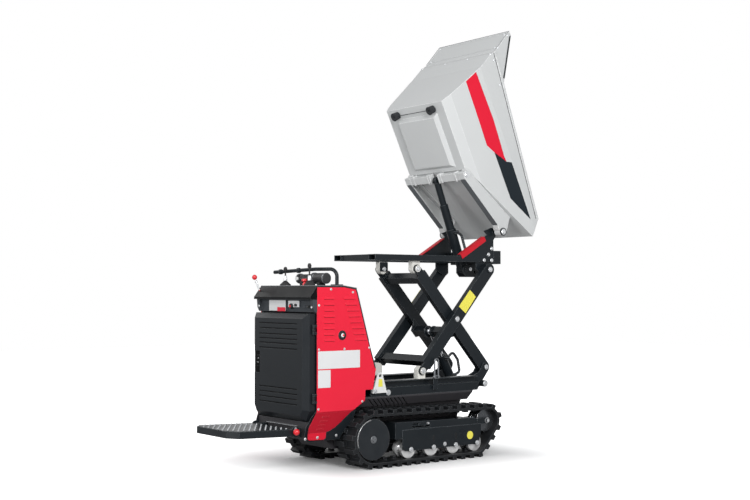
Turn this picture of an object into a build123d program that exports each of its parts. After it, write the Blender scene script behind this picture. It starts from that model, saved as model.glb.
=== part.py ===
from build123d import *
from math import atan2, cos, degrees, pi, radians, sin
import os

# Tracked high-tip site dumper, mm. +X is the tipping end, -Y the right-hand side of a
# driver who stands on the rear platform, +Z is up and the tracks stand on Z = 0.

# ---------------------------------------------------------------- shared sizes
mid_x = 224.6             # middle of the tracks, ahead of the origin
sheet = 4.0               # folded sheet steel
plate = 8.0               # laser-cut steel plate
run_fit = 0.06            # radial clearance of a pin in its bore
soft_gap = 0.3            # gap between curved faces of neighbouring pieces
pin_head = 6.0            # thickness of a pin's head

# tracks
track_outer_y = 360.0
track_width = 180.0
belt_thickness = 14.0
lug_height = 22.0
lug_length = 30.0
link_pitch = 72.0
sprocket_r = 138.0        # inner face of the belt round the sprocket
idler_r = 72.0
roller_r = 56.0
guide_width = 32.0        # row of guide lugs along the middle of the belt
guide_height = 18.0
guide_length = 26.0

# scissor lift
arm_length = 863.6        # between a scissor arm's end pins
arm_angle = 48.0          # rest angle of the arms above the ground
arm_depth = 80.0
arm_pin_r = 16.0
arm_pin_z = 558.0         # lower pins
front_pin_x = mid_x + 575.0
outer_arm_y = (210.0, 250.0)
inner_arm_y = (160.0, 200.0)
lug_plate = 12.0          # arm's end lug outside the slider
slider_r = 31.0
slider_seat = 50.0        # pin to the rail face that the slider runs on
glide_gap = 0.3           # slider to rail

# chassis rails and upper frame
rail_y = (166.0, 244.0)
rail_base_z = 417.0
rail_rear_x = mid_x - 410.0
rail_front_x = mid_x + 470.0
upper_rail_y = (144.0, 214.0)
upper_rail_h = 37.0
upper_rear_x = mid_x - 352.0

# skip, in its own frame: origin on the tipping axis, x forward, z up with the floor level
tip_angle = 64.4          # rest angle of the tipped skip
skip_wall = 4.0
skip_half_y = 350.0
floor_z = -115.0
floor_rear_x = -963.0
floor_front_x = -496.0
lip = (122.0, 196.0)
rim_front = (39.0, 287.0)
rim_rear = (-1111.0, 405.0)
member_y = (244.0, 296.0)     # sub-frame's side members
flare_z = 230.0           # fold between the flared lower side and the upright upper side
flare_rise = 0.15         # how far the sides lean out for each mm up
rim_bar = 12.0            # thickness of the rolled bar along the rim
panel_size = (372.0, 400.0)   # raised panel pressed in the floor
panel_depth = 22.0
panel_shift = 26.0
tip_axis_x = front_pin_x + 75.0
tip_rise = 162.2          # tipping axis above the upper rails
tip_pin_r = 15.0

# housing
house_y = 302.0
house_rear_x = mid_x - 849.0

slope = radians(arm_angle)
tipped = radians(tip_angle)
rail_top_z = arm_pin_z - slider_seat
upper_pin_z = arm_pin_z + arm_length * sin(slope)
upper_base_z = upper_pin_z + slider_seat
upper_top_z = upper_base_z + upper_rail_h
slide_x = front_pin_x - arm_length * cos(slope)
tip_axis = (tip_axis_x, upper_top_z + tip_rise)


def side_view(y):
    """Plane seen from the right: local x is X, local y is Z; it extrudes towards -Y."""
    return Plane(origin=(0, y, 0), x_dir=(1, 0, 0), z_dir=(0, -1, 0))


def rear_view(x):
    """Plane across the machine: local x is Y, local y is Z; it extrudes towards +X."""
    return Plane(origin=(x, 0, 0), x_dir=(0, 1, 0), z_dir=(1, 0, 0))


def skip_side(y):
    """Side plane of the tipped skip, with its origin on the tipping axis."""
    return Plane(origin=(tip_axis[0], y, tip_axis[1]),
                 x_dir=(cos(tipped), 0, -sin(tipped)), z_dir=(0, -1, 0))


def skip_across(x, z=0.0):
    """Plane across the skip at x, z of its own frame: local x is Y, local y its z."""
    origin = skip_side(0).from_local_coords(Vector(x, z, 0))
    return Plane(origin=origin, x_dir=(0, 1, 0), z_dir=(cos(tipped), 0, -sin(tipped)))


def skip_level(z):
    """Plane level with the skip's floor: local x is the skip's x, local y is Y."""
    origin = skip_side(0).from_local_coords(Vector(0, z, 0))
    return Plane(origin=origin, x_dir=(cos(tipped), 0, -sin(tipped)),
                 z_dir=(sin(tipped), 0, cos(tipped)))


def outer_arm_plane(y):
    """Along an outer arm from its lower, sliding pin."""
    return Plane(origin=(slide_x, y, arm_pin_z), x_dir=(cos(slope), 0, sin(slope)),
                 z_dir=(0, -1, 0))


def inner_arm_plane(y):
    """Along an inner arm from its lower, fixed pin; local y points below the arm."""
    return Plane(origin=(front_pin_x, y, arm_pin_z), x_dir=(-cos(slope), 0, sin(slope)),
                 z_dir=(0, -1, 0))


os.makedirs("parts", exist_ok=True)
nodes = []


def keep(part, name):
    """Label a finished piece and put it on the list that is written at the end."""
    part.label = name
    nodes.append(part)


# ---------------------------------------------------------------- tracks
ground_gap = lug_height + belt_thickness
track_inner_y = track_outer_y - track_width
track_mid_y = track_outer_y - track_width / 2
sprocket_at = (mid_x - 464.0, ground_gap + sprocket_r)
idler_at = (mid_x + 468.0, 226.0)
roller_pitch = 182.7
roller_xs = [mid_x - 174.0 + k * roller_pitch for k in range(4)]
roller_z = ground_gap + roller_r
wheels = [(sprocket_at, sprocket_r), ((roller_xs[-1], roller_z), roller_r), (idler_at, idler_r)]


def track_loop(grow):
    """Face inside the belt line, grown outwards from the belt's inner face."""
    with BuildSketch() as loop:
        for centre, radius in wheels:
            with Locations(centre):
                Circle(radius + grow)
        make_hull()
    return loop.sketch


belt_line = track_loop(belt_thickness).face().outer_wire()
link_count = round(track_loop(belt_thickness / 2).face().outer_wire().length / link_pitch)


def along_belt(row):
    """Places along the belt's outer face, one a link, shifted by a part of a link."""
    places = []
    for k in range(link_count):
        share = (k + row) / link_count
        here = belt_line.position_at(share)
        way = belt_line.tangent_at(share)
        places.append(Location((here.X, here.Y, 0), (0, 0, degrees(atan2(way.Y, way.X)))))
    return places


spin = belt_line.tangent_at(0)
inside = Vector(wheels[0][0][0], wheels[0][0][1], 0) - belt_line.position_at(0)
outward = -1 if (spin.X * inside.Y - spin.Y * inside.X) > 0 else 1
lug_rows = [(track_inner_y + track_width / 2, 0.0), (track_inner_y, 0.5)]   # inner edge y, shift
lug_sink = 4.0

with BuildPart() as track_right:
    with BuildSketch(side_view(-track_inner_y)):
        add(track_loop(belt_thickness))
        add(track_loop(0), mode=Mode.SUBTRACT)
    extrude(amount=track_width)
    for row_y, shift in lug_rows:
        with BuildSketch(side_view(-row_y)):
            with Locations(*along_belt(shift)):
                with Locations((0, outward * (lug_height - lug_sink) / 2)):
                    Rectangle(lug_length, lug_height + lug_sink)
        extrude(amount=track_width / 2)
    with BuildSketch(side_view(-track_mid_y + guide_width / 2)):
        with Locations(*along_belt(0.25)):
            with Locations((0, -outward * (belt_thickness + guide_height / 2 - 1))):
                Rectangle(guide_length, guide_height + 2)
    extrude(amount=guide_width)
    split(bisect_by=Plane.XY)
with BuildPart() as track_left:
    mirror(track_right.part, about=Plane.XZ)
keep(track_right.part, "track_right")
keep(track_left.part, "track_left")

# Drive sprockets: two toothed rings on a hub beside the guide lugs, with a cover disc.
sprocket_teeth = 12
ring_gap = guide_width / 2 + 4.0
ring_width = 14.0
cover_r = 122.0
with BuildPart() as sprocket_right:
    with BuildSketch(side_view(-track_mid_y + ring_gap + ring_width)):
        with Locations(sprocket_at):
            Circle(sprocket_r - 12)
            with PolarLocations(sprocket_r - 11, sprocket_teeth):
                Rectangle(20 - 2 * soft_gap, 24)
    extrude(amount=2 * (ring_gap + ring_width))
    with BuildSketch(side_view(-track_mid_y + ring_gap)):
        with Locations(sprocket_at):
            Circle(sprocket_r + 10)
            Circle(sprocket_r - guide_height - 14, mode=Mode.SUBTRACT)
    extrude(amount=2 * ring_gap, mode=Mode.SUBTRACT)
    with BuildSketch(side_view(-track_mid_y - ring_gap - ring_width)):
        with Locations(sprocket_at):
            Circle(cover_r - 26)
    extrude(amount=track_outer_y - 22 - track_mid_y - ring_gap - ring_width)
    with BuildSketch(side_view(-track_outer_y + 30)):
        with Locations(sprocket_at):
            Circle(cover_r)
    extrude(amount=10)
with BuildPart() as sprocket_left:
    mirror(sprocket_right.part, about=Plane.XZ)
keep(sprocket_right.part, "sprocket_right")
keep(sprocket_left.part, "sprocket_left")

# Front idlers and bottom rollers: pairs of rims beside the guide lugs on a thinner hub.
rim_width = 24.0
axle_r = 14.0
# node stem, wheel centres (x, z), radius
wheel_sets = [("idler", [idler_at], idler_r),
              ("bottom_rollers", [(x, roller_z) for x in roller_xs], roller_r)]
for stem, centres, radius in wheel_sets:
    with BuildPart() as wheels_right:
        with BuildSketch(side_view(-track_mid_y + ring_gap + rim_width)):
            with Locations(*centres):
                Circle(radius - soft_gap)
        extrude(amount=2 * (ring_gap + rim_width))
        with BuildSketch(side_view(-track_mid_y + ring_gap)):
            with Locations(*centres):
                Circle(radius + 10)
                Circle(radius - guide_height - 6, mode=Mode.SUBTRACT)
        extrude(amount=2 * ring_gap, mode=Mode.SUBTRACT)
        with BuildSketch(side_view(-track_inner_y)):
            with Locations(*centres):
                Circle(axle_r + run_fit)
        extrude(amount=track_width, mode=Mode.SUBTRACT)
    with BuildPart() as wheels_left:
        mirror(wheels_right.part, about=Plane.XZ)
    keep(wheels_right.part, stem + "_right")
    keep(wheels_left.part, stem + "_left")

# Track frames: beam inside the loop, roller guard outside it, roller and idler axles.
hull_y = 160.0
guard_y = track_outer_y - 24.0
beam_y = track_mid_y - ring_gap - rim_width - 4.0
with BuildPart() as track_frame_right:
    with BuildSketch(side_view(-beam_y + 6)):
        with BuildLine():
            Polyline((mid_x - 290, 160), (mid_x + 370, 160), (mid_x + 385, 175),
                     (mid_x + 385, 242), (mid_x + 330, 252), (mid_x - 290, 262), close=True)
        make_face()
    extrude(amount=guard_y - sheet - beam_y + 6)
    with BuildSketch(side_view(-guard_y + sheet + 30)):
        with Locations((mid_x - 85, 234)):
            SlotOverall(150, 26)
    extrude(amount=40, mode=Mode.SUBTRACT)
    with BuildSketch(Plane(origin=(mid_x - 165, -guard_y + sheet + 15, 234), z_dir=(1, 0, 0))):
        Circle(7)
    extrude(amount=160)
    with BuildSketch(Plane(origin=(mid_x - 60, -guard_y + sheet + 15, 234), z_dir=(1, 0, 0))):
        RegularPolygon(13, 6)
    extrude(amount=16)
    with BuildSketch(side_view(-guard_y + sheet)):
        with BuildLine():
            Polyline((mid_x - 236, 95), (mid_x - 214, 84), (mid_x + 392, 84), (mid_x + 413, 165),
                     (mid_x + 413, 210), (mid_x - 236, 213), close=True)
        make_face()
    extrude(amount=sheet)
    with BuildSketch(side_view(-beam_y + 12)):
        for x in roller_xs:
            with Locations((x, roller_z)):
                Circle(axle_r)
        with Locations(idler_at):
            Circle(axle_r)
    extrude(amount=guard_y + 6 - beam_y + 12)
    with BuildSketch(side_view(-beam_y + 12)):
        with Locations((mid_x + 430, 226)):
            SlotOverall(130, 40)
    extrude(amount=12)
    with BuildSketch(side_view(-guard_y + 14)):
        with Locations((mid_x + 440, 226)):
            SlotOverall(110, 36)
    extrude(amount=10)
    with BuildSketch(side_view(-hull_y)):
        with Locations((mid_x - 120, 205), (mid_x + 240, 205)):
            Rectangle(110, 60)
    extrude(amount=beam_y - 6 - hull_y + 6)
with BuildPart() as track_frame_left:
    mirror(track_frame_right.part, about=Plane.XZ)
keep(track_frame_right.part, "track_frame_right")
keep(track_frame_left.part, "track_frame_left")

# Final drives: hydraulic motors on the hull's sides that carry the sprockets.
with BuildPart() as final_drive_right:
    with BuildSketch(side_view(-hull_y)):
        with Locations(sprocket_at):
            Circle(78)
    extrude(amount=track_mid_y - ring_gap - ring_width - hull_y - 1)
with BuildPart() as final_drive_left:
    mirror(final_drive_right.part, about=Plane.XZ)
keep(final_drive_right.part, "final_drive_right")
keep(final_drive_left.part, "final_drive_left")

# ---------------------------------------------------------------- hull and rails
hull_lean_y = 214.0       # foot of the sides that lean in over the tracks
hull_lean_z = 358.0
hull_slots = 9            # slanting air slots in the skirt
hull_slot_pitch = 33.0
hull_front_slope = ((mid_x + 330, 115), (mid_x + 391, 339), (mid_x + 426, rail_base_z))
with BuildPart() as hull:
    with BuildSketch(side_view(hull_y)):
        with BuildLine():
            Polyline((mid_x - 640, 115), *hull_front_slope, (mid_x - 488, rail_base_z),
                     (mid_x - 488, 350), (mid_x - 700, 350), (mid_x - 700, 190), close=True)
        make_face()
    extrude(amount=2 * hull_y)
    with BuildSketch(rear_view(mid_x - 488)):
        with BuildLine():
            Polyline((-hull_lean_y, hull_lean_z), (hull_lean_y, hull_lean_z),
                     (rail_y[1], rail_base_z - 10), (rail_y[1], rail_base_z),
                     (-rail_y[1], rail_base_z), (-rail_y[1], rail_base_z - 10), close=True)
        make_face()
    extrude(amount=488 + 426)
    with BuildSketch(side_view(rail_y[1] + 5)):
        with BuildLine():
            Polyline((mid_x + 388, 325), (mid_x + 430, rail_base_z + 5),
                     (mid_x + 470, rail_base_z + 5), (mid_x + 470, 325), close=True)
        make_face()
    extrude(amount=2 * rail_y[1] + 10, mode=Mode.SUBTRACT)
    with BuildSketch(rear_view(mid_x - 886)):
        with BuildLine():
            Polyline((-255, 194), (255, 194), (287, 360), (-287, 360), close=True)
        make_face()
    extrude(amount=886 - 655)
    with BuildSketch(Plane.XY.offset(298)):
        with Locations((mid_x - 870, 0)):
            Rectangle(50, 2 * house_y)
    extrude(amount=80, mode=Mode.SUBTRACT)
    with BuildSketch(side_view(rail_y[1] + 10)):
        for k in range(hull_slots):
            with Locations(Location((mid_x - 395 + hull_slot_pitch * k, 380), -38)):
                Rectangle(78, 6)
    extrude(amount=2 * rail_y[1] + 20, mode=Mode.SUBTRACT)
    with BuildSketch(side_view(hull_y + 15)):
        with Locations((mid_x - 260, 380)):
            Rectangle(420, 74)
    extrude(amount=2 * hull_y + 30)
keep(hull.part, "hull")

rail_sheet = 6.0
mid_flange_z = 463.0
# webs: outer face's distance from the middle, base and top; the upper tier opens outwards
rail_webs = [(rail_y[1], rail_base_z, mid_flange_z + rail_sheet), (212.0, mid_flange_z, rail_top_z)]
with BuildPart() as chassis_rails:
    for z in (rail_base_z, mid_flange_z, rail_top_z - rail_sheet):
        with BuildSketch(Plane.XY.offset(z)):
            with Locations(((rail_rear_x + rail_front_x) / 2, -(rail_y[0] + rail_y[1]) / 2)):
                Rectangle(rail_front_x - rail_rear_x, rail_y[1] - rail_y[0])
        extrude(amount=rail_sheet)
    for y, base, top in rail_webs:
        with BuildSketch(side_view(-y + rail_sheet)):
            with BuildLine():
                Polyline((rail_rear_x, base), (rail_front_x, base), (rail_front_x, top),
                         (rail_rear_x, top), close=True)
            make_face()
        extrude(amount=rail_sheet)
    mirror(about=Plane.XZ)
    with BuildSketch(Plane.XY.offset(rail_base_z)):
        with Locations((rail_rear_x + 30, 0)):
            Rectangle(60, 2 * rail_y[0])
    extrude(amount=60)
keep(chassis_rails.part, "chassis_rails")

# Front pivot brackets with the fixed lower pins and the cross tube that joins them.
cross_tube_at = (mid_x + 528.0, 455.0)
bracket_ys = (inner_arm_y[0] - 2.0 - plate, inner_arm_y[1] + 2.0)     # plates' inner faces
with BuildPart() as pivot_brackets:
    for y in bracket_ys:
        with BuildSketch(side_view(-y)):
            with BuildLine():
                Polyline((rail_front_x, rail_base_z), (rail_front_x + 30, rail_base_z),
                         (front_pin_x + 25, arm_pin_z - 20), (front_pin_x + 25, arm_pin_z + 20),
                         (front_pin_x - 20, arm_pin_z + 30), (front_pin_x - 60, rail_top_z + 20),
                         (rail_front_x, rail_top_z), close=True)
            make_face()
        extrude(amount=plate)
    with BuildSketch(side_view(-bracket_ys[0] - 1)):
        with Locations((front_pin_x, arm_pin_z)):
            Circle(arm_pin_r)
    extrude(amount=bracket_ys[1] + plate + pin_head - bracket_ys[0] - 1)
    mirror(about=Plane.XZ)
    with BuildSketch(side_view(256)):
        with Locations(cross_tube_at):
            Circle(21)
    extrude(amount=512)
keep(pivot_brackets.part, "pivot_brackets")

# Lifting ears at the rear ends of the rails.
ear_y = 256.0
ear_hole_r = 11.0
ear_hole = (mid_x - 353.0, 546.0)
with BuildPart() as ear_right:
    with BuildSketch(side_view(-ear_y)):
        with BuildLine():
            Polyline((mid_x - 412, 440), (mid_x - 300, 440), (mid_x - 335, 555),
                     (mid_x - 372, 555), close=True)
        make_face()
        with Locations(ear_hole):
            Circle(20)
            Circle(ear_hole_r, mode=Mode.SUBTRACT)
    extrude(amount=plate)
    with BuildSketch(side_view(-rail_y[1])):
        with Locations((mid_x - 356, 452)):
            Rectangle(100, 24)
    extrude(amount=ear_y - rail_y[1])
with BuildPart() as ear_left:
    mirror(ear_right.part, about=Plane.XZ)
keep(ear_right.part, "lifting_ear_right")
keep(ear_left.part, "lifting_ear_left")

# Prop on the right-hand rail: a U-shaped rod that folds down along the rail.
stay_y = 269.0
stay_rod_r = 5.0
stay_hinge = (mid_x + 94.0, 518.0)
stay_height = 112.0
stay_plate_y = 256.0       # plate's inner face, clear of the arms
with BuildPart() as rail_stay:
    with BuildLine():
        FilletPolyline((stay_hinge[0] - 15, -stay_y, stay_hinge[1] + 4),
                       (stay_hinge[0] - 15, -stay_y, stay_hinge[1] + stay_height),
                       (stay_hinge[0] + 15, -stay_y, stay_hinge[1] + stay_height),
                       (stay_hinge[0] + 15, -stay_y, stay_hinge[1] + 4), radius=12)
    with BuildSketch(Plane.XY.offset(stay_hinge[1] + 4)):
        with Locations((stay_hinge[0] - 15, -stay_y)):
            Circle(stay_rod_r)
    sweep()
    with BuildSketch(side_view(-stay_y + stay_rod_r)):
        with Locations(stay_hinge):
            SlotOverall(50, 20)
            Circle(6 + run_fit, mode=Mode.SUBTRACT)
    extrude(amount=2 * stay_rod_r)
keep(rail_stay.part, "rail_stay")

with BuildPart() as stay_pivot:
    with BuildSketch(side_view(-rail_y[1])):
        with Locations((stay_hinge[0], 452)):
            Rectangle(36, 24)
    extrude(amount=stay_plate_y - rail_y[1])
    with BuildSketch(side_view(-stay_plate_y)):
        with Locations((stay_hinge[0], 479)):
            Rectangle(36, 78)
        with Locations(stay_hinge):
            Circle(18)
    extrude(amount=5)
    with BuildSketch(side_view(-stay_plate_y)):
        with Locations(stay_hinge):
            Circle(6)
    extrude(amount=stay_y + stay_rod_r + 4 - stay_plate_y)
keep(stay_pivot.part, "stay_pivot")

# ---------------------------------------------------------------- engine housing
# outline of the housing seen from the side: x ahead of mid_x, z
house_outline = [(-849, 358), (-581, 358), (-499, 406), (-495, 469), (-439, 469), (-416, 593),
                 (-454, 709), (-552, 1045), (-563, 1074), (-656, 1089), (-849, 1089)]
# lower, bent-in zone of the side panel: x ahead of mid_x, z
house_skirt = [(-849, 361), (-581, 361), (-653, 296), (-712, 256), (-769, 234), (-769, 211),
               (-798, 194), (-876, 196), (-890, 214), (-890, 266)]
skirt_bend = radians(14.0)
shell_y = house_y - sheet


def ahead(points):
    """Points given ahead of the middle of the tracks."""
    return [(mid_x + x, z) for x, z in points]


with BuildPart() as housing_frame:
    with BuildSketch(side_view(shell_y)):
        with BuildLine():
            Polyline(*ahead(house_outline), close=True)
        make_face()
        offset(amount=-2)
        offset(amount=-sheet, mode=Mode.SUBTRACT)
    extrude(amount=2 * shell_y)
    with BuildSketch(rear_view(house_rear_x - 20)):
        with BuildLine():
            Polyline((-270, 366), (270, 366), (270, 1040), (-270, 1040), close=True)
        make_face()
    extrude(amount=60, mode=Mode.SUBTRACT)
keep(housing_frame.part, "housing_frame")

# louvre columns: x ahead of mid_x of the first slot's middle, shift for each slot, length
louvre_columns = [(-762.0, 0.0, 70.0), (-612.0, 11.6, 82.0)]
louvre_top_z = 1012.0
louvre_pitch = 35.1
louvre_count = 8
louvre_h = 5.0
hood_h = 13.0
hood_out = 6.0
low_louvres = [(-797.0 + 9 * k, 336.0 - 22 * k) for k in range(5)]
port_at = (mid_x - 670.0, 799.0)
louvre_places = [(mid_x + x + shift * k, louvre_top_z - louvre_pitch * k, length)
                 for x, shift, length in louvre_columns for k in range(louvre_count)]
with BuildPart() as side_panel_right:
    with BuildSketch(side_view(-shell_y)):
        with BuildLine():
            Polyline(*ahead(house_outline), close=True)
        make_face()
    extrude(amount=sheet)
    bent = Plane(origin=(0, -shell_y, 358), x_dir=(1, 0, 0),
                 z_dir=(0, -cos(skirt_bend), -sin(skirt_bend)))
    with BuildSketch(bent):
        with BuildLine():
            Polyline(*[(mid_x + x, (z - 358) / cos(skirt_bend)) for x, z in house_skirt],
                     close=True)
        make_face()
    extrude(amount=sheet)
    with BuildSketch(side_view(-shell_y + 1)):
        for x, z, length in louvre_places:
            with Locations((x, z)):
                Rectangle(length, louvre_h)
        with Locations(port_at):
            Circle(25)
    extrude(amount=sheet + 2, mode=Mode.SUBTRACT)
    for x, z, length in louvre_places:
        with BuildSketch(rear_view(x - length / 2 - 3)):
            with BuildLine():
                Polyline((-house_y, z + hood_h), (-house_y - hood_out, z), (-house_y - hood_out + 2, z - 1),
                         (-house_y, z + hood_h - 6), close=True)
            make_face()
        extrude(amount=length + 6)
    with BuildSketch(side_view(-house_y + 1)):
        with Locations(port_at):
            Circle(30)
            Circle(25, mode=Mode.SUBTRACT)
    extrude(amount=4)
    with BuildSketch(bent):
        for x, z in low_louvres:
            with Locations((mid_x + x + 30, z - 358)):
                Rectangle(62, 8)
    extrude(amount=sheet + 3)
with BuildPart() as side_panel_left:
    mirror(side_panel_right.part, about=Plane.XZ)
keep(side_panel_right.part, "side_panel_right")
keep(side_panel_left.part, "side_panel_left")

with BuildPart() as engine_block:
    with BuildSketch(Plane.XY.offset(364)):
        with Locations((mid_x - 700, 0)):
            Rectangle(190, 360)
    extrude(amount=350)
keep(engine_block.part, "engine_block")

# Rear door: pan with bevelled edges, hinged at its right-hand edge.
door_face_x = mid_x - 923.0
door_base_z = 304.0
door_top_z = 928.0
door_y = 286.0
door_hinge = (mid_x - 872.0, -297.0)
door_pin_r = 4.0
door_louvres = [868.0, 838.0, 804.0, 777.0, 750.0, 720.0, 487.0, 457.0, 427.0, 397.0]
door_rib_y = 205.0
hinge_zs = (420.0, 820.0)
knuckle = 30.0            # height of a hinge's moving knuckle
with BuildPart() as engine_door:
    with BuildSketch(rear_view(door_face_x)):
        with BuildLine():
            Polyline((-door_y, door_base_z + 60), (-door_y + 34, door_base_z),
                     (door_y - 34, door_base_z), (door_y, door_base_z + 60),
                     (door_y, door_top_z), (-door_y, door_top_z), close=True)
        make_face()
    extrude(amount=70)
    chamfer(engine_door.faces().sort_by(Axis.X)[0].edges(), length=30)
    offset(amount=-3, openings=engine_door.faces().sort_by(Axis.X)[-1])
    with BuildSketch(rear_view(door_face_x)):
        for z in door_louvres:
            with Locations((0, z)):
                Rectangle(2 * door_rib_y, 8)
    extrude(amount=10, mode=Mode.SUBTRACT)
    with BuildSketch(rear_view(door_face_x + 1)):
        for z in door_louvres:
            with Locations((0, z + 3)):
                Rectangle(2 * door_rib_y + 8, 16)
    extrude(amount=2 + 3)
    with BuildSketch(rear_view(door_face_x)):
        with Locations((242, 630)):
            Rectangle(88, 132)
    extrude(amount=22, mode=Mode.SUBTRACT)
    with BuildSketch(rear_view(door_face_x + 22)):
        with Locations((242, 630)):
            Rectangle(92, 136)
    extrude(amount=3)
    with BuildSketch(rear_view(door_face_x + 8)):
        with Locations((225, 636)):
            Rectangle(36, 66)
    extrude(amount=15)
    for z in hinge_zs:
        with BuildSketch(Plane.XY.offset(z)):
            with Locations(door_hinge):
                Circle(door_pin_r + 3)
            with Locations((door_hinge[0] + 8, door_hinge[1] + 7)):
                Rectangle(16, 14)
            with Locations(door_hinge):
                Circle(door_pin_r + run_fit, mode=Mode.SUBTRACT)
        extrude(amount=knuckle)
keep(engine_door.part, "engine_door")

with BuildPart() as door_hinges:
    for z in hinge_zs:
        for base in (z - 13, z + knuckle + 1):
            with BuildSketch(Plane.XY.offset(base)):
                with Locations(door_hinge):
                    Circle(door_pin_r + 3)
                with Locations(((door_hinge[0] + house_rear_x) / 2, door_hinge[1])):
                    Rectangle(house_rear_x - door_hinge[0], 10)
            extrude(amount=12)
        with BuildSketch(Plane.XY.offset(z - 13)):
            with Locations(door_hinge):
                Circle(door_pin_r)
        extrude(amount=knuckle + 26)
keep(door_hinges.part, "door_hinges")

# Visor and control panel over the door.
console_z = 1089.0
panel_z = (936.0, 1020.0)
with BuildPart() as instrument_panel:
    with BuildSketch(side_view(house_y)):
        with BuildLine():
            Polyline((house_rear_x, console_z), (mid_x - 900, 1024), (mid_x - 900, 1010),
                     (house_rear_x - 30, 1010), (house_rear_x - 10, 1000),
                     (house_rear_x - 10, panel_z[0]), (house_rear_x, panel_z[0]), close=True)
        make_face()
    extrude(amount=2 * house_y)
    for y in (house_y, -house_y + 28):
        with BuildSketch(side_view(y)):
            with BuildLine():
                Polyline((house_rear_x, 1012), (mid_x - 880, 1012), (house_rear_x - 26, 960),
                         (house_rear_x - 14, panel_z[0]), (house_rear_x, panel_z[0]), close=True)
            make_face()
        extrude(amount=28)
    with BuildSketch(rear_view(house_rear_x - 16)):
        with Locations((90, 972)):
            Rectangle(185, 68)
        with Locations((-86, 983)):
            Rectangle(121, 42)
        with Locations((-190, 968)):
            Circle(9)
    extrude(amount=7)
keep(instrument_panel.part, "instrument_panel")

# Console plate with handlebar, levers and air cleaner.
console_front_x = mid_x - 651.0
with BuildPart() as console_plate:
    with BuildSketch(side_view(house_y)):
        with BuildLine():
            Polyline((house_rear_x, console_z), (console_front_x - 5, console_z),
                     (mid_x - 559.5, 1074.5), (mid_x - 558, 1078.5),
                     (console_front_x - 5, console_z + sheet), (house_rear_x, console_z + sheet),
                     close=True)
        make_face()
    extrude(amount=2 * house_y)
keep(console_plate.part, "console_plate")

deck_z = console_z + sheet
bar_r = 11.0
foot_at = (mid_x - 668.0, -248.0)
bar_points = [(foot_at[0], foot_at[1], deck_z), (foot_at[0], foot_at[1], 1190.0),
              (mid_x - 735.0, -120.0, 1190.0), (mid_x - 800.0, 225.0, 1175.0)]
with BuildPart() as handlebar:
    with BuildLine():
        FilletPolyline(*bar_points, radius=45)
    with BuildSketch(Plane(origin=bar_points[0], z_dir=(0, 0, 1))):
        Circle(bar_r)
    sweep()
    with BuildSketch(Plane.XY.offset(deck_z)):
        with Locations(foot_at):
            Rectangle(60, 44)
    extrude(amount=6)
    for step in (0.42, 0.86):
        with BuildSketch(side_view(bar_points[2][1] + (bar_points[3][1] - bar_points[2][1]) * step)):
            with Locations((bar_points[2][0] + (bar_points[3][0] - bar_points[2][0]) * step,
                            bar_points[2][2] + (bar_points[3][2] - bar_points[2][2]) * step)):
                Circle(bar_r + 5)
        extrude(amount=16)
keep(handlebar.part, "handlebar")

# joysticks on the console, each with a rubber boot: y, height to the grip's middle
boot = [(0, 0), (34, 0), (34, 5), (14, 24), (5, 30)]
stick_x = mid_x - 812.0
joysticks = [(86.0, 100.0), (-170.0, 118.0)]
with BuildPart() as control_levers:
    for y, tall in joysticks:
        with BuildSketch(Plane(origin=(stick_x, y, deck_z), x_dir=(1, 0, 0), z_dir=(0, -1, 0))):
            with BuildLine():
                Polyline(*boot, (4.5, tall - 16), (11, tall - 12), (12, tall), (8, tall + 11),
                         (0, tall + 14), close=True)
            make_face()
        revolve(axis=Axis((stick_x, y, deck_z), (0, 0, 1)), revolution_arc=-360)
keep(control_levers.part, "control_levers")

# Mushroom-headed stop button.
button_at = (stick_x, -119.0)
with BuildPart() as stop_button:
    with BuildSketch(Plane(origin=(*button_at, deck_z), x_dir=(1, 0, 0), z_dir=(0, -1, 0))):
        with BuildLine():
            Polyline((0, 0), (13, 0), (13, 12), (7, 14), (7, 20), (18, 27), (18, 38), (0, 42),
                     close=True)
        make_face()
    revolve(axis=Axis((*button_at, deck_z), (0, 0, 1)), revolution_arc=-360)
keep(stop_button.part, "stop_button")

# Ball lever on the visor's slope at its left end, leaning out to the rear.
knob_foot = (mid_x - 872.0, 282.0, 1060.0)
knob_lean = radians(20.0)
knob_rise = 90.0
lever = Plane(origin=knob_foot, x_dir=(0, 1, 0), z_dir=(-sin(knob_lean), 0.12, cos(knob_lean)))
with BuildPart() as ball_lever:
    with BuildSketch(lever.offset(3.0)):
        Circle(5)
    extrude(amount=knob_rise - 3)
    with Locations(lever.offset(knob_rise)):
        Sphere(16)
keep(ball_lever.part, "ball_lever")

# Round filter housing across the console, stepped down at its left end.
filter_at = (mid_x - 728.0, deck_z + 42)
with BuildPart() as air_cleaner:
    with BuildSketch(Plane(origin=(filter_at[0], -230, filter_at[1]), x_dir=(0, 1, 0),
                           z_dir=(1, 0, 0))):
        with BuildLine():
            Polyline((0, 0), (0, 27), (5, 32), (118, 32), (118, 35), (132, 35), (132, 26),
                     (262, 26), (266, 30), (288, 30), (292, 22), (292, 0), close=True)
        make_face()
    revolve(axis=Axis((filter_at[0], -230, filter_at[1]), (0, 1, 0)))
    with BuildSketch(Plane.XY.offset(deck_z)):
        with Locations((filter_at[0], -170), (filter_at[0], 10)):
            Rectangle(46, 24)
    extrude(amount=26)
keep(air_cleaner.part, "air_cleaner")

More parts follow.
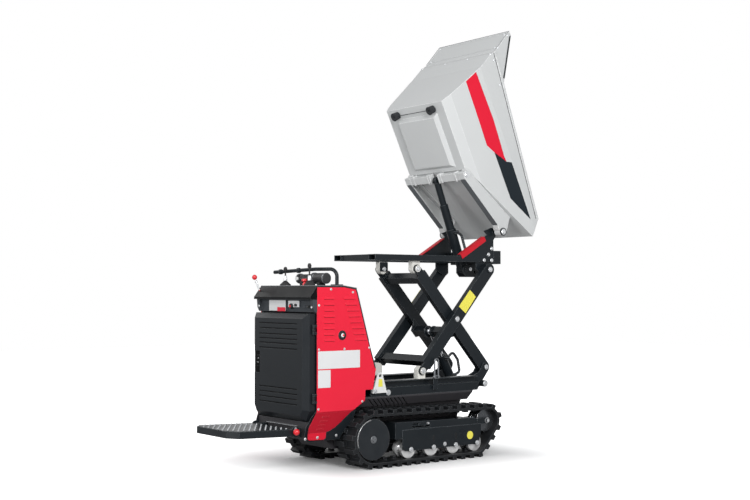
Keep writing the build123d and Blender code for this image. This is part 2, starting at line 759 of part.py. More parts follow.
# ---------------------------------------------------------------- operator platform
platform_hinge = (mid_x - 940.0, 244.0)
platform_tilt = 2.0
platform_y = 225.0
platform_length = 435.2
platform_sheet = 4.0
tread_rise = 14.0         # tread above the hinge pin
tread_lip = 40.0
tread = Plane(origin=(platform_hinge[0], 0, platform_hinge[1]),
              x_dir=(-cos(radians(platform_tilt)), 0, sin(radians(platform_tilt))),
              z_dir=(sin(radians(platform_tilt)), 0, cos(radians(platform_tilt))))
with BuildPart() as platform:
    with BuildSketch(tread.offset(tread_rise - tread_lip)):
        with BuildLine():
            Polyline((24, -platform_y), (platform_length - 50, -platform_y),
                     (platform_length, -platform_y + 60), (platform_length, platform_y - 60),
                     (platform_length - 50, platform_y), (24, platform_y), close=True)
        make_face()
    extrude(amount=tread_lip)
    offset(amount=-platform_sheet, openings=platform.faces().sort_by(Axis.Z)[0])
    for side in (-1, 1):
        with BuildSketch(side_view(side * 180 + 8)):
            with Locations(platform_hinge):
                Circle(16)
            with Locations((platform_hinge[0] - 16, platform_hinge[1] - 6)):
                Rectangle(32, 20)
        extrude(amount=16)
    with BuildSketch(side_view(200)):
        with Locations(platform_hinge):
            Circle(8 + run_fit)
    extrude(amount=400, mode=Mode.SUBTRACT)
keep(platform.part, "platform")

with BuildPart() as platform_brackets:
    for side in (-1, 1):
        for y in (side * 180 + 18, side * 180 - 10):
            with BuildSketch(side_view(y)):
                with BuildLine():
                    Polyline((mid_x - 886, 205), (mid_x - 886, 262), (mid_x - 930, 262),
                             (platform_hinge[0] - 12, 252), (platform_hinge[0] - 12, 232),
                             close=True)
                make_face()
            extrude(amount=8)
        with BuildSketch(side_view(side * 180 + 22)):
            with Locations(platform_hinge):
                Circle(8)
        extrude(amount=44)
keep(platform_brackets.part, "platform_brackets")

# ---------------------------------------------------------------- scissor arms
mid_pin = arm_length / 2
cross_tube = 50.0
end_tube_at = 80.5        # along the arm from its sliding pin
lift_tube_at = (370.4, 62.0)
lift_fork_y = 24.0        # half the gap in the tube that takes the lift cylinder's eye

with BuildPart() as outer_arms:
    with BuildSketch(outer_arm_plane(-outer_arm_y[0])):
        with Locations(((46 + arm_length) / 2, 0)):
            Rectangle(arm_length - 46, arm_depth)
        with Locations((arm_length, 0)):
            Circle(arm_depth / 2)
    extrude(amount=outer_arm_y[1] - outer_arm_y[0])
    with BuildSketch(outer_arm_plane(-outer_arm_y[1] + lug_plate)):
        with Locations((32, 0)):
            Rectangle(64, 52)
        Circle(26)
    extrude(amount=lug_plate)
    with BuildSketch(outer_arm_plane(-outer_arm_y[0] + 10)):
        with Locations((mid_pin, 0), (arm_length, 0)):
            Circle(arm_pin_r + run_fit)
        Circle(14 + run_fit)
    extrude(amount=60, mode=Mode.SUBTRACT)
    mirror(about=Plane.XZ)
    with BuildSketch(outer_arm_plane(outer_arm_y[0])):
        with Locations((end_tube_at, 0)):
            Rectangle(cross_tube, cross_tube)
    extrude(amount=2 * outer_arm_y[0])
keep(outer_arms.part, "outer_arms")

with BuildPart() as inner_arms:
    with BuildSketch(inner_arm_plane(-inner_arm_y[0])):
        with Locations(((arm_length - 46) / 2, 0)):
            Rectangle(arm_length - 46, arm_depth)
        Circle(arm_depth / 2)
    extrude(amount=inner_arm_y[1] - inner_arm_y[0])
    with BuildSketch(inner_arm_plane(-inner_arm_y[1] + lug_plate)):
        with Locations((arm_length - 32, 0)):
            Rectangle(64, 52)
        with Locations((arm_length, 0)):
            Circle(26)
    extrude(amount=lug_plate)
    with BuildSketch(inner_arm_plane(-inner_arm_y[0] + 10)):
        Circle(arm_pin_r + run_fit)
        with Locations((arm_length, 0)):
            Circle(14 + run_fit)
    extrude(amount=60, mode=Mode.SUBTRACT)
    with BuildSketch(inner_arm_plane(-inner_arm_y[1])):
        with Locations((mid_pin, 0)):
            Circle(arm_pin_r)
    extrude(amount=outer_arm_y[1] - inner_arm_y[1] + 1)
    with BuildSketch(inner_arm_plane(-outer_arm_y[1] - 1)):
        with Locations((mid_pin, 0)):
            Circle(arm_pin_r + 8)
    extrude(amount=3)
    with BuildSketch(inner_arm_plane(-inner_arm_y[0] + plate)):
        with BuildLine():
            Polyline((lift_tube_at[0] - 70, 20), (lift_tube_at[0] + 70, 20),
                     (lift_tube_at[0] + 30, lift_tube_at[1] + 28),
                     (lift_tube_at[0] - 30, lift_tube_at[1] + 28), close=True)
        make_face()
    extrude(amount=plate)
    with BuildSketch(inner_arm_plane(-lift_fork_y)):
        with Locations(lift_tube_at):
            Rectangle(cross_tube, cross_tube)
    extrude(amount=inner_arm_y[0] - lift_fork_y)
    with BuildSketch(inner_arm_plane(-lift_fork_y)):
        with Locations(lift_tube_at):
            Circle(38)
    extrude(amount=plate)
    mirror(about=Plane.XZ)
    with BuildSketch(inner_arm_plane(inner_arm_y[0])):
        with Locations((arm_length - end_tube_at, 0)):
            Rectangle(cross_tube, cross_tube)
    extrude(amount=2 * inner_arm_y[0])
keep(inner_arms.part, "inner_arms")


# Nylon sliders: flat against their rail, rounded at the pin that they carry.
slider_length = 39.0
# node, pin z, side of the rail, y of the block's outer face
slider_sets = [("lower_sliders", arm_pin_z, -1, outer_arm_y[1] - lug_plate),
               ("upper_sliders", upper_pin_z, 1, inner_arm_y[1] - lug_plate)]
for name, pin_z, rail_side, y_out in slider_sets:
    with BuildPart() as sliders:
        with BuildSketch(side_view(-y_out + slider_length)):
            with Locations((slide_x, pin_z)):
                Circle(slider_r)
            with Locations((slide_x, pin_z + rail_side * (slider_seat - glide_gap) / 2)):
                Rectangle(2 * slider_r, slider_seat - glide_gap)
        extrude(amount=slider_length - 1)
        with BuildSketch(side_view(-y_out + 1)):
            with Locations((slide_x, pin_z)):
                Circle(14)
        extrude(amount=lug_plate + 2 + pin_head)
        with BuildSketch(side_view(-y_out - lug_plate - 1)):
            with Locations((slide_x, pin_z)):
                Circle(21)
        extrude(amount=pin_head)
        mirror(about=Plane.XZ)
    keep(sliders.part, name)

# ---------------------------------------------------------------- upper frame
front_beam = (front_pin_x + 69.0, front_pin_x + 134.0)
guard_foot_x = front_pin_x - 222.0
guard_run = 236.0         # sloped edge of the uprights, covered by the guards
guard_climb = 136.0
beam_h = 88.0
beam_drop = 12.0          # front beam below the rails
upper_rail_mid_y = (upper_rail_y[0] + upper_rail_y[1]) / 2
upright_y = upper_rail_y[1] - plate
with BuildPart() as upper_frame:
    with BuildSketch(rear_view(upper_rear_x)):
        with Locations((-upper_rail_mid_y, upper_base_z + upper_rail_h / 2)):
            Rectangle(upper_rail_y[1] - upper_rail_y[0], upper_rail_h)
            Rectangle(upper_rail_y[1] - upper_rail_y[0] - 2 * sheet, upper_rail_h - 2 * sheet,
                      mode=Mode.SUBTRACT)
    extrude(amount=front_beam[0] - upper_rear_x)
    with BuildSketch(side_view(-upright_y)):
        with BuildLine():
            Polyline((guard_foot_x - 10, upper_top_z - 4), (guard_foot_x, upper_top_z + 8),
                     (guard_foot_x + guard_run, upper_top_z + 8 + guard_climb),
                     (tip_axis[0] - 90, tip_axis[1] + 6), (tip_axis[0] - 25, tip_axis[1] + 29),
                     (tip_axis[0] + 25, tip_axis[1] + 25), (tip_axis[0] + 34, tip_axis[1] - 3),
                     (front_beam[0], tip_axis[1] - 53), (front_beam[0], upper_base_z),
                     (guard_foot_x - 10, upper_base_z), close=True)
        make_face()
        fillet(vertices().group_by(Axis.Y)[-1], radius=14)
    extrude(amount=plate)
    with BuildSketch(side_view(-upright_y + 10)):
        with BuildLine():
            Polyline((front_pin_x - 80, upper_base_z), (front_pin_x + 32, upper_base_z),
                     (front_pin_x + 32, upper_pin_z - 18), (front_pin_x + 14, upper_pin_z - 34),
                     (front_pin_x - 14, upper_pin_z - 34), (front_pin_x - 80, upper_pin_z + 4),
                     close=True)
        make_face()
    extrude(amount=plate)
    with BuildSketch(side_view(-upright_y + 10)):
        with Locations((front_pin_x, upper_pin_z)):
            Circle(arm_pin_r)
    extrude(amount=outer_arm_y[1] - upright_y + 11)
    with BuildSketch(side_view(-outer_arm_y[1] - 1)):
        with Locations((front_pin_x, upper_pin_z)):
            Circle(arm_pin_r + 6)
    extrude(amount=pin_head)
    with BuildSketch(side_view(-upright_y)):
        with Locations(tip_axis):
            Circle(tip_pin_r)
    extrude(amount=member_y[1] + 6 - upright_y)
    with BuildSketch(side_view(-member_y[1] - 1)):
        with Locations(tip_axis):
            Circle(tip_pin_r + 11)
    extrude(amount=8)
    mirror(about=Plane.XZ)
    with BuildSketch(Plane.XY.offset(upper_base_z)):
        with Locations((upper_rear_x + 35, 0)):
            Rectangle(48, 2 * upper_rail_y[0])
    extrude(amount=upper_rail_h)
    with BuildSketch(side_view(upper_rail_y[1])):
        with Locations(((front_beam[0] + front_beam[1]) / 2,
                        upper_base_z - beam_drop + beam_h / 2)):
            Rectangle(front_beam[1] - front_beam[0], beam_h)
            Rectangle(front_beam[1] - front_beam[0] - 10, beam_h - 10, mode=Mode.SUBTRACT)
    extrude(amount=2 * upper_rail_y[1])
keep(upper_frame.part, "upper_frame")

# Bracket hung from the front beam for the tipping cylinder.
tilt_base = (front_pin_x - 15.0, upper_pin_z + 0.2)
fork_y = 28.0
hang_z = upper_base_z - beam_drop
with BuildPart() as tilt_bracket:
    for y in (fork_y + plate, -fork_y):
        with BuildSketch(side_view(y)):
            with BuildLine():
                Polyline((front_pin_x - 39, hang_z - 24), (front_pin_x - 27, hang_z - 12),
                         (front_beam[0], hang_z), (front_beam[1], hang_z),
                         (front_beam[1] + 12, hang_z - 10), (front_beam[1] + 12, hang_z - 60),
                         (front_beam[1] - 13, hang_z - 85), (front_pin_x - 13, hang_z - 85),
                         (front_pin_x - 39, hang_z - 58), close=True)
            make_face()
            with Locations((front_pin_x + 66, hang_z - 52)):
                Circle(11, mode=Mode.SUBTRACT)
        extrude(amount=plate)
    with BuildSketch(side_view(fork_y + plate + 5)):
        with Locations(tilt_base):
            Circle(14)
    extrude(amount=2 * (fork_y + plate + 5))
    with BuildSketch(rear_view(front_beam[0] + 14)):
        with Locations((0, hang_z - 40)):
            Rectangle(2 * fork_y, 60)
    extrude(amount=12)
keep(tilt_bracket.part, "tilt_bracket")

# Red angle guards along the sloped edges of the uprights.
guard_slope = atan2(guard_climb, guard_run)
guard_leg = 34.0
with BuildPart() as edge_guards:
    guard_plane = Plane(origin=(guard_foot_x, -upper_rail_y[1], upper_top_z + 8),
                        x_dir=(cos(guard_slope), 0, sin(guard_slope)), z_dir=(0, -1, 0))
    with BuildSketch(guard_plane):
        with Locations((guard_run / 2, sheet + 1 - guard_leg / 2)):
            Rectangle(guard_run + 5, guard_leg)
    extrude(amount=sheet + 1)
    with BuildSketch(guard_plane.offset(sheet + 1 - guard_leg)):
        with Locations((guard_run / 2, sheet / 2 + 0.5)):
            Rectangle(guard_run + 5, sheet + 1)
    extrude(amount=guard_leg)
    mirror(about=Plane.XZ)
keep(edge_guards.part, "edge_guards")

# ---------------------------------------------------------------- cylinders
lift_base = (mid_x + 470.0, 445.0)
lift_barrel_r = 31.0
lift_rod_r = 17.0
eye_half = 18.0
barrel_start = 42.0       # base pin to the barrel's end


def point_in(plane, x, y):
    """World x and z of a local point of a side plane."""
    spot = plane.from_local_coords(Vector(x, y, 0))
    return spot.X, spot.Z


lift_eye = point_in(inner_arm_plane(0), *lift_tube_at)
lift_reach = ((lift_eye[0] - lift_base[0]) ** 2 + (lift_eye[1] - lift_base[1]) ** 2) ** 0.5
lift_dir = atan2(lift_eye[1] - lift_base[1], lift_eye[0] - lift_base[0])


def along(start, direction, y=0.0):
    """Side plane with local x along a cylinder from its base pin."""
    return Plane(origin=(start[0], y, start[1]), x_dir=(cos(direction), 0, sin(direction)),
                 z_dir=(0, -1, 0))


def across(start, direction, distance):
    """Plane square to a cylinder's axis at a distance from its base pin."""
    return Plane(origin=(start[0] + distance * cos(direction), 0,
                         start[1] + distance * sin(direction)),
                 x_dir=(0, 1, 0), z_dir=(cos(direction), 0, sin(direction)))


# hoses beside the barrels, from port to port: distance along the cylinder, aside of it
hose_r = 9.0
port_r = 10.0
port_y = 38.0             # port's end from the cylinder's middle plane
lift_hose_route = [(66, 0), (60, -52), (140, -76), (206, -62), (196, 0)]
tilt_hose_route = [(72, 0), (88, -30), (236, -34), (268, 0)]
lift_barrel_length = 215.0
with BuildPart() as lift_barrel:
    with BuildSketch(across(lift_base, lift_dir, barrel_start)):
        Circle(lift_barrel_r)
    extrude(amount=lift_barrel_length - barrel_start)
    with BuildSketch(along(lift_base, lift_dir, eye_half)):
        Circle(24)
        with Locations((24, 0)):
            Rectangle(48, 40)
    extrude(amount=2 * eye_half)
    with BuildSketch(along(lift_base, lift_dir, -lift_barrel_r + 6)):
        with Locations(lift_hose_route[0], lift_hose_route[-1]):
            Circle(port_r)
    extrude(amount=port_y - lift_barrel_r + 6)
    with BuildSketch(along(lift_base, lift_dir, eye_half + 5)):
        Circle(13 + run_fit)
    extrude(amount=2 * eye_half + 10, mode=Mode.SUBTRACT)
    with BuildSketch(across(lift_base, lift_dir, 60)):
        Circle(lift_rod_r + run_fit)
    extrude(amount=lift_barrel_length, mode=Mode.SUBTRACT)
keep(lift_barrel.part, "lift_barrel")

with BuildPart() as lift_rod:
    with BuildSketch(across(lift_base, lift_dir, lift_reach - 200)):
        Circle(lift_rod_r)
    extrude(amount=200 - 20)
    with BuildSketch(along(lift_base, lift_dir, eye_half)):
        with Locations((lift_reach, 0)):
            Circle(24)
    extrude(amount=2 * eye_half)
keep(lift_rod.part, "lift_rod")

with BuildPart() as lift_bracket:
    for y in (eye_half + 2 + plate, -eye_half - 2):
        with BuildSketch(side_view(y)):
            with BuildLine():
                Polyline((lift_base[0] - 24, lift_base[1] - 14), (lift_base[0] - 24, lift_base[1] + 14),
                         (lift_base[0] - 8, lift_base[1] + 26), cross_tube_at,
                         (lift_base[0] + 30, lift_base[1] - 24), (lift_base[0] - 8, lift_base[1] - 24),
                         close=True)
            make_face()
            with Locations(cross_tube_at):
                Circle(30)
                Circle(21, mode=Mode.SUBTRACT)
        extrude(amount=plate)
    with BuildSketch(side_view(eye_half + 2 + plate)):
        with Locations(lift_base):
            Circle(13)
    extrude(amount=2 * (eye_half + 2 + plate))
keep(lift_bracket.part, "lift_bracket")

# Two-stage tipping cylinder between the hung bracket and the skip's cross tube.
tilt_eye = point_in(skip_side(0), -445, -140)
tilt_reach = ((tilt_eye[0] - tilt_base[0]) ** 2 + (tilt_eye[1] - tilt_base[1]) ** 2) ** 0.5
tilt_dir = atan2(tilt_eye[1] - tilt_base[1], tilt_eye[0] - tilt_base[0])
tilt_barrel_length = 290.0
tilt_barrel_r = 33.0
stage_r = 28.0
plunger_r = 22.0
stage_length = 255.0
with BuildPart() as tilt_barrel:
    with BuildSketch(across(tilt_base, tilt_dir, barrel_start)):
        Circle(tilt_barrel_r)
    extrude(amount=tilt_barrel_length - barrel_start)
    with BuildSketch(along(tilt_base, tilt_dir, fork_y - 2)):
        Circle(24)
        with Locations((24, 0)):
            Rectangle(48, 44)
    extrude(amount=2 * fork_y - 4)
    with BuildSketch(along(tilt_base, tilt_dir, -tilt_barrel_r + 5)):
        with Locations(tilt_hose_route[0], tilt_hose_route[-1]):
            Circle(port_r)
    extrude(amount=port_y - tilt_barrel_r + 5)
    with BuildSketch(along(tilt_base, tilt_dir, fork_y + 5)):
        Circle(14 + run_fit)
    extrude(amount=2 * fork_y + 10, mode=Mode.SUBTRACT)
    with BuildSketch(across(tilt_base, tilt_dir, 40)):
        Circle(stage_r + run_fit)
    extrude(amount=tilt_barrel_length, mode=Mode.SUBTRACT)
keep(tilt_barrel.part, "tilt_barrel")

stage_start = tilt_reach - 425.0
with BuildPart() as tilt_stage:
    with BuildSketch(across(tilt_base, tilt_dir, stage_start)):
        Circle(stage_r)
    extrude(amount=stage_length)
    with BuildSketch(across(tilt_base, tilt_dir, stage_start + 6)):
        Circle(plunger_r + run_fit)
    extrude(amount=stage_length, mode=Mode.SUBTRACT)
keep(tilt_stage.part, "tilt_stage")

with BuildPart() as tilt_plunger:
    with BuildSketch(across(tilt_base, tilt_dir, tilt_reach - 245)):
        Circle(plunger_r)
    extrude(amount=245 - 16)
    with BuildSketch(along(tilt_base, tilt_dir, 15)):
        with Locations((tilt_reach, 0)):
            Circle(24)
    extrude(amount=30)
keep(tilt_plunger.part, "tilt_plunger")

# Each hose is swept between its two end fittings, which sit on the barrel's ports.
# node, cylinder's base, direction, route
hose_runs = [("lift_hose", lift_base, lift_dir, lift_hose_route),
             ("tilt_hose", tilt_base, tilt_dir, tilt_hose_route)]
for name, base, direction, route in hose_runs:
    hose_plane = along(base, direction, -port_y - hose_r - 3)
    spots = [hose_plane.from_local_coords(Vector(x, y, 0)) for x, y in route]
    with BuildPart() as hose:
        with BuildLine():
            FilletPolyline(*spots, radius=22)
        with BuildSketch(Plane(origin=spots[0], z_dir=spots[1] - spots[0])):
            Circle(hose_r)
        sweep()
        with BuildSketch(along(base, direction, -port_y)):
            with Locations(route[0], route[-1]):
                RegularPolygon(port_r + 4, 6)
        extrude(amount=2 * hose_r + 6)
    keep(hose.part, name)

# ---------------------------------------------------------------- skip
side_chamfer = (28.0, 65.0)   # across and up, between the floor and the flared sides
rear_folds = [(-1105.0, 358.0), (-1061.0, 242.0)]
flare_floor_y = skip_half_y - flare_rise * (flare_z - floor_z)
fold_up_y = skip_half_y - flare_rise * (flare_z - floor_z - side_chamfer[1])
with BuildPart() as skip_body:
    with BuildSketch(skip_side(skip_half_y)):
        with BuildLine():
            Polyline((floor_rear_x, floor_z), (floor_front_x, floor_z), lip, rim_front,
                     rim_rear, *rear_folds, close=True)
        make_face()
    extrude(amount=2 * skip_half_y)
    for side in (-1, 1):
        with BuildSketch(skip_across(-1300)):
            with BuildLine():
                Polyline((side * skip_half_y, flare_z), (side * fold_up_y, floor_z + side_chamfer[1]),
                         (side * (fold_up_y - side_chamfer[0]), floor_z),
                         (side * (fold_up_y - side_chamfer[0]), floor_z - 20),
                         (side * (skip_half_y + 40), floor_z - 20),
                         (side * (skip_half_y + 40), flare_z), close=True)
            make_face()
        extrude(amount=1600, mode=Mode.SUBTRACT)
    rim_faces = [f for f in skip_body.faces()
                 if skip_side(0).to_local_coords(f.center()).Y > 200
                 and abs(f.normal_at().Y) < 0.1
                 and skip_side(0).to_local_coords(f.center()).X > -1000]
    offset(amount=-skip_wall, openings=rim_faces)
    with BuildSketch(skip_level(floor_z)):
        with Locations(((floor_rear_x + floor_front_x) / 2 + panel_shift, 0)):
            Rectangle(panel_size[0], panel_size[1])
    extrude(amount=-panel_depth, taper=45)
    for y in (skip_half_y, -skip_half_y):
        with BuildSketch(skip_side(y + (rim_bar / 2))):
            with BuildLine():
                Polyline((rim_rear[0], rim_rear[1]), (rim_front[0], rim_front[1]),
                         (rim_front[0] - 2, rim_front[1] - rim_bar),
                         (rim_rear[0] + 2, rim_rear[1] - rim_bar), close=True)
            make_face()
        extrude(amount=rim_bar)
keep(skip_body.part, "skip_body")

# Spill guard bolted inside the rear rim: leaning plate with triangular wings.
guard_top = (-1188.0, 586.0)
wing_front_x = -888.0
rim_fall = (rim_front[1] - rim_rear[1]) / (rim_front[0] - rim_rear[0])
wing_top = (guard_top[0] + 28, guard_top[1])
wing_foot = (wing_front_x, rim_rear[1] + rim_fall * (wing_front_x - rim_rear[0]))
wing_flange = 22.0
with BuildPart() as spill_guard:
    with BuildSketch(skip_side(skip_half_y)):
        with BuildLine():
            Polyline((rim_rear[0], rim_rear[1]), guard_top, (guard_top[0] + 14, guard_top[1]),
                     (guard_top[0] + 14, guard_top[1] - 4), (guard_top[0] + 5, guard_top[1] - 4),
                     (rim_rear[0] + 5, rim_rear[1] + 5 * rim_fall), close=True)
        make_face()
    extrude(amount=2 * skip_half_y)
    for y in (skip_half_y, -skip_half_y + sheet):
        with BuildSketch(skip_side(y)):
            with BuildLine():
                Polyline((rim_rear[0], rim_rear[1]), guard_top, wing_top, wing_foot, close=True)
            make_face()
        extrude(amount=sheet)
    for y in (skip_half_y, -skip_half_y + wing_flange):
        with BuildSketch(skip_side(y)):
            with BuildLine():
                Polyline(wing_top, wing_foot, (wing_foot[0] - 9, wing_foot[1] + 6),
                         (wing_top[0] - 8, wing_top[1]), close=True)
            make_face()
        extrude(amount=wing_flange)
keep(spill_guard.part, "spill_guard")

# Sub-frame under the skip: channel side members from the cross tube to the tipping axis,
# where each has a boss, and a cross tube with ears, open at the middle for the cylinder's eye.
ramp_rise = (lip[1] - floor_z) / (lip[0] - floor_front_x)
member_sheet = 6.0
ear_ys = (66.0, 208.0)
cross_at = (-460.0, -136.5)
cross_size = (50.0, 36.0)
eye_gap = 38.0            # half the gap in the cross tube
with BuildPart() as skip_subframe:
    for side in (-1, 1):
        with BuildSketch(skip_side(side * (member_y[0] + member_y[1]) / 2 + 26)):
            with BuildLine():
                Polyline((-486, floor_z - 0.5), (-486, cross_at[1] - 20), (-440, cross_at[1] - 20),
                         (-60, -20), (-30, -24), (24, -10), (24, 22),
                         (-60, floor_z + (-60 - floor_front_x) * ramp_rise - 1),
                         (floor_front_x + 1, floor_z - 0.5), close=True)
            make_face()
        extrude(amount=member_y[1] - member_y[0])
    inner_faces = [f for f in skip_subframe.faces()
                   if abs(abs(f.center().Y) - member_y[0]) < 0.5 and abs(f.normal_at().Y) > 0.9]
    offset(amount=-member_sheet, openings=inner_faces)
    for side in (-1, 1):
        with BuildSketch(skip_side(side * (member_y[0] + member_y[1]) / 2 + 26)):
            Circle(tip_pin_r + 11)
            Circle(tip_pin_r + run_fit, mode=Mode.SUBTRACT)
        extrude(amount=member_y[1] - member_y[0])
        with BuildSketch(skip_side(side * (member_y[0] + member_y[1]) / 2 + 27)):
            Circle(tip_pin_r + run_fit)
        extrude(amount=member_y[1] - member_y[0] + 2, mode=Mode.SUBTRACT)
        with BuildSketch(skip_side(side * (eye_gap + member_y[0]) / 2 + (member_y[0] - eye_gap) / 2)):
            with Locations(cross_at):
                Rectangle(*cross_size)
                Rectangle(cross_size[0] - 10, cross_size[1] - 10, mode=Mode.SUBTRACT)
        extrude(amount=member_y[0] - eye_gap)
        for y in (side * (eye_gap + 5), side * ear_ys[0], side * ear_ys[1]):
            with BuildSketch(skip_side(y + 5)):
                with Locations(cross_at):
                    Rectangle(cross_size[0] + 12, cross_size[1] + 5)
            extrude(amount=10)
keep(skip_subframe.part, "skip_subframe")

# Round rubber stops on which the lowered skip rests on the upper rails.
with BuildPart() as bumpers:
    for y in (-179, 179):
        with BuildSketch(skip_level(-156)):
            with Locations((-921, y)):
                Circle(28)
        extrude(amount=156 + floor_z - 0.3, taper=6)
        with BuildSketch(skip_level(-156)):
            with Locations((-921, y)):
                Circle(9)
        extrude(amount=8, mode=Mode.SUBTRACT)
keep(bumpers.part, "skip_bumpers")

for part in nodes:
    export_step(part, "parts/" + part.label + ".step")
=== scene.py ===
import math

import bmesh
import bpy
from mathutils import Matrix, Vector


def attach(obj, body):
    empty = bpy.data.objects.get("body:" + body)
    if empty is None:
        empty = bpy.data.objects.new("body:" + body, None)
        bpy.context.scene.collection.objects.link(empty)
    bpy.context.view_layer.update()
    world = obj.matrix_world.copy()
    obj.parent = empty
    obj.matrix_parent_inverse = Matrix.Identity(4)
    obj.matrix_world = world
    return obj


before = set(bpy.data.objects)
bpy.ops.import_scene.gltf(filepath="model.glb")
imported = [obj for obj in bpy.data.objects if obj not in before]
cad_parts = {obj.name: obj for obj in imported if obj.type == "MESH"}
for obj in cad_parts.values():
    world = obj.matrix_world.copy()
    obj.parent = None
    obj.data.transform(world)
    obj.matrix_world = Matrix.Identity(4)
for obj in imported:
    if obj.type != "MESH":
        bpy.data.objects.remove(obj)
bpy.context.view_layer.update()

# Studio: a pale seamless floor under a white tent. The camera stands low off the machine's
# right-hand rear corner. A large soft key lamp hangs to its right, with a fill lamp to its left,
# and weaker lamps hang above the machine and beyond it.
camera_data = bpy.data.cameras.new("camera")
camera_data.lens = 57.2
camera_data.sensor_width = 36.0
camera = bpy.data.objects.new("camera", camera_data)
camera.location = (-4.6233, -5.9651, 1.0682)
camera.rotation_euler = (math.radians(91.9), 0.0, math.radians(-38.0))
bpy.context.collection.objects.link(camera)
bpy.context.scene.camera = camera
bpy.context.scene.view_settings.view_transform = "Standard"


def add_node(tree, kind, settings=None, values=None, links=None):
    """Node with its settings and socket values, joined to other nodes' outputs."""
    node = tree.nodes.new(kind)
    for key, value in (settings or {}).items():
        setattr(node, key, value)
    for key, value in (values or {}).items():
        node.inputs[key].default_value = value
    for key, output in (links or {}).items():
        tree.links.new(output, node.inputs[key])
    return node


def multiply(tree, first, second, clamp=False):
    """Product of two outputs."""
    return add_node(tree, "ShaderNodeMath", {"operation": "MULTIPLY", "use_clamp": clamp},
                    links={0: first, 1: second}).outputs[0]


def make_object(name, shape, finish):
    """Object whose mesh is a finished bmesh."""
    mesh = bpy.data.meshes.new(name)
    shape.to_mesh(mesh)
    shape.free()
    mesh.materials.append(finish)
    made = bpy.data.objects.new(name, mesh)
    bpy.context.collection.objects.link(made)
    return made


# tent: white to the camera and nearly so in gloss, dimmer and cooler as light on the object
tent = bpy.data.worlds.new("tent")
bpy.context.scene.world = tent
tent.use_nodes = True
sky = tent.node_tree
sky.nodes.clear()
rays = add_node(sky, "ShaderNodeLightPath")
direct = add_node(sky, "ShaderNodeMath", {"operation": "MAXIMUM"},
                  links={0: rays.outputs["Is Camera Ray"], 1: rays.outputs["Is Transmission Ray"]})
glossy = add_node(sky, "ShaderNodeMath", {"operation": "MULTIPLY"}, {1: 0.75},
                  {0: rays.outputs["Is Glossy Ray"]})
either = add_node(sky, "ShaderNodeMath", {"operation": "MAXIMUM"},
                  links={0: direct.outputs[0], 1: glossy.outputs[0]})
fill = add_node(sky, "ShaderNodeBackground", values={"Color": (0.97, 0.98, 1.0, 1.0), "Strength": 0.4})
seen = add_node(sky, "ShaderNodeBackground", values={"Color": (1.0, 1.0, 1.0, 1.0), "Strength": 1.0})
pick = add_node(sky, "ShaderNodeMixShader",
                links={"Fac": either.outputs[0], 1: fill.outputs[0], 2: seen.outputs[0]})
add_node(sky, "ShaderNodeOutputWorld", links={"Surface": pick.outputs[0]})

# lamp: where it stands, where it points, width, power
lamps = {"key": ((-2.4, -6.2, 3.3), (0.1, 0.0, 1.3), 3.0, 372.0),
         "left_fill": ((-6.6, -1.2, 1.5), (0.2, 0.0, 1.6), 2.6, 138.0),
         "top_light": ((0.5, 0.8, 6.5), (0.2, 0.0, 1.0), 4.0, 10.0),
         "rear_rim": ((-2.0, 6.0, 3.4), (0.2, 0.0, 1.4), 2.5, 60.0)}
for name, (stand, target, width, power) in lamps.items():
    lamp = bpy.data.lights.new(name, "AREA")
    lamp.shape = "SQUARE"
    lamp.size = width
    lamp.energy = power
    holder = bpy.data.objects.new(name, lamp)
    holder.location = stand
    holder.rotation_euler = (Vector(target) - Vector(stand)).to_track_quat("-Z", "Y").to_euler()
    bpy.context.collection.objects.link(holder)

# floor: pale paint, white to the camera away from the machine, so that only its shadow shows; its glow
# fades out towards the machine's footprint, which paints a shadow round it
floor_paint = bpy.data.materials.new("floor_paint")
floor_paint.use_nodes = True
paint = floor_paint.node_tree
floor_skin = paint.nodes["Principled BSDF"]
floor_skin.inputs["Roughness"].default_value = 0.9
floor_skin.inputs["Specular IOR Level"].default_value = 0.1
floor_skin.inputs["Emission Color"].default_value = (1.0, 1.0, 1.0, 1.0)
floor_place = add_node(paint, "ShaderNodeTexCoord")
floor_rays = add_node(paint, "ShaderNodeLightPath")
floor_mottle = add_node(paint, "ShaderNodeTexNoise", values={"Scale": 3.0},
                        links={"Vector": floor_place.outputs["Object"]})
floor_tone = add_node(paint, "ShaderNodeMapRange", values={"To Min": 0.50, "To Max": 0.54},
                      links={"Value": floor_mottle.outputs["Fac"]})
floor_seen = add_node(paint, "ShaderNodeMath", {"operation": "MULTIPLY_ADD"}, {1: 0.44},
                      {0: floor_rays.outputs["Is Camera Ray"], 2: floor_tone.outputs["Result"]})
paint.links.new(floor_seen.outputs[0], floor_skin.inputs["Base Color"])

# how far a spot lies outside the machine's footprint, which has a middle and half a length and width; the
# floor's glow rises with it, so a painted shadow darkens the floor round the footprint
footprint_middle, footprint_half = (0.22, 0.0, 0.0), (0.62, 0.34, 0.0)
spot = floor_place.outputs["Object"]
for operation, amount in (("SUBTRACT", footprint_middle), ("ABSOLUTE", None), ("SUBTRACT", footprint_half),
                          ("MAXIMUM", (0.0, 0.0, 0.0))):
    spot = add_node(paint, "ShaderNodeVectorMath", {"operation": operation},
                    {1: amount} if amount else None, {0: spot}).outputs["Vector"]
floor_far = add_node(paint, "ShaderNodeVectorMath", {"operation": "LENGTH"}, links={0: spot})
floor_glow_and_painted_shadow = add_node(paint, "ShaderNodeMapRange", {"interpolation_type": "SMOOTHSTEP"},
                      {"From Min": -0.15, "From Max": 0.95}, {"Value": floor_far.outputs["Value"]})
floor_lift_and_painted_shadow = multiply(paint, floor_rays.outputs["Is Camera Ray"], floor_glow_and_painted_shadow.outputs["Result"])
paint.links.new(floor_lift_and_painted_shadow, floor_skin.inputs["Emission Strength"])
floor_shape = bmesh.new()
bmesh.ops.create_grid(floor_shape, x_segments=1, y_segments=1, size=14.0)
floor = make_object("floor", floor_shape, floor_paint)
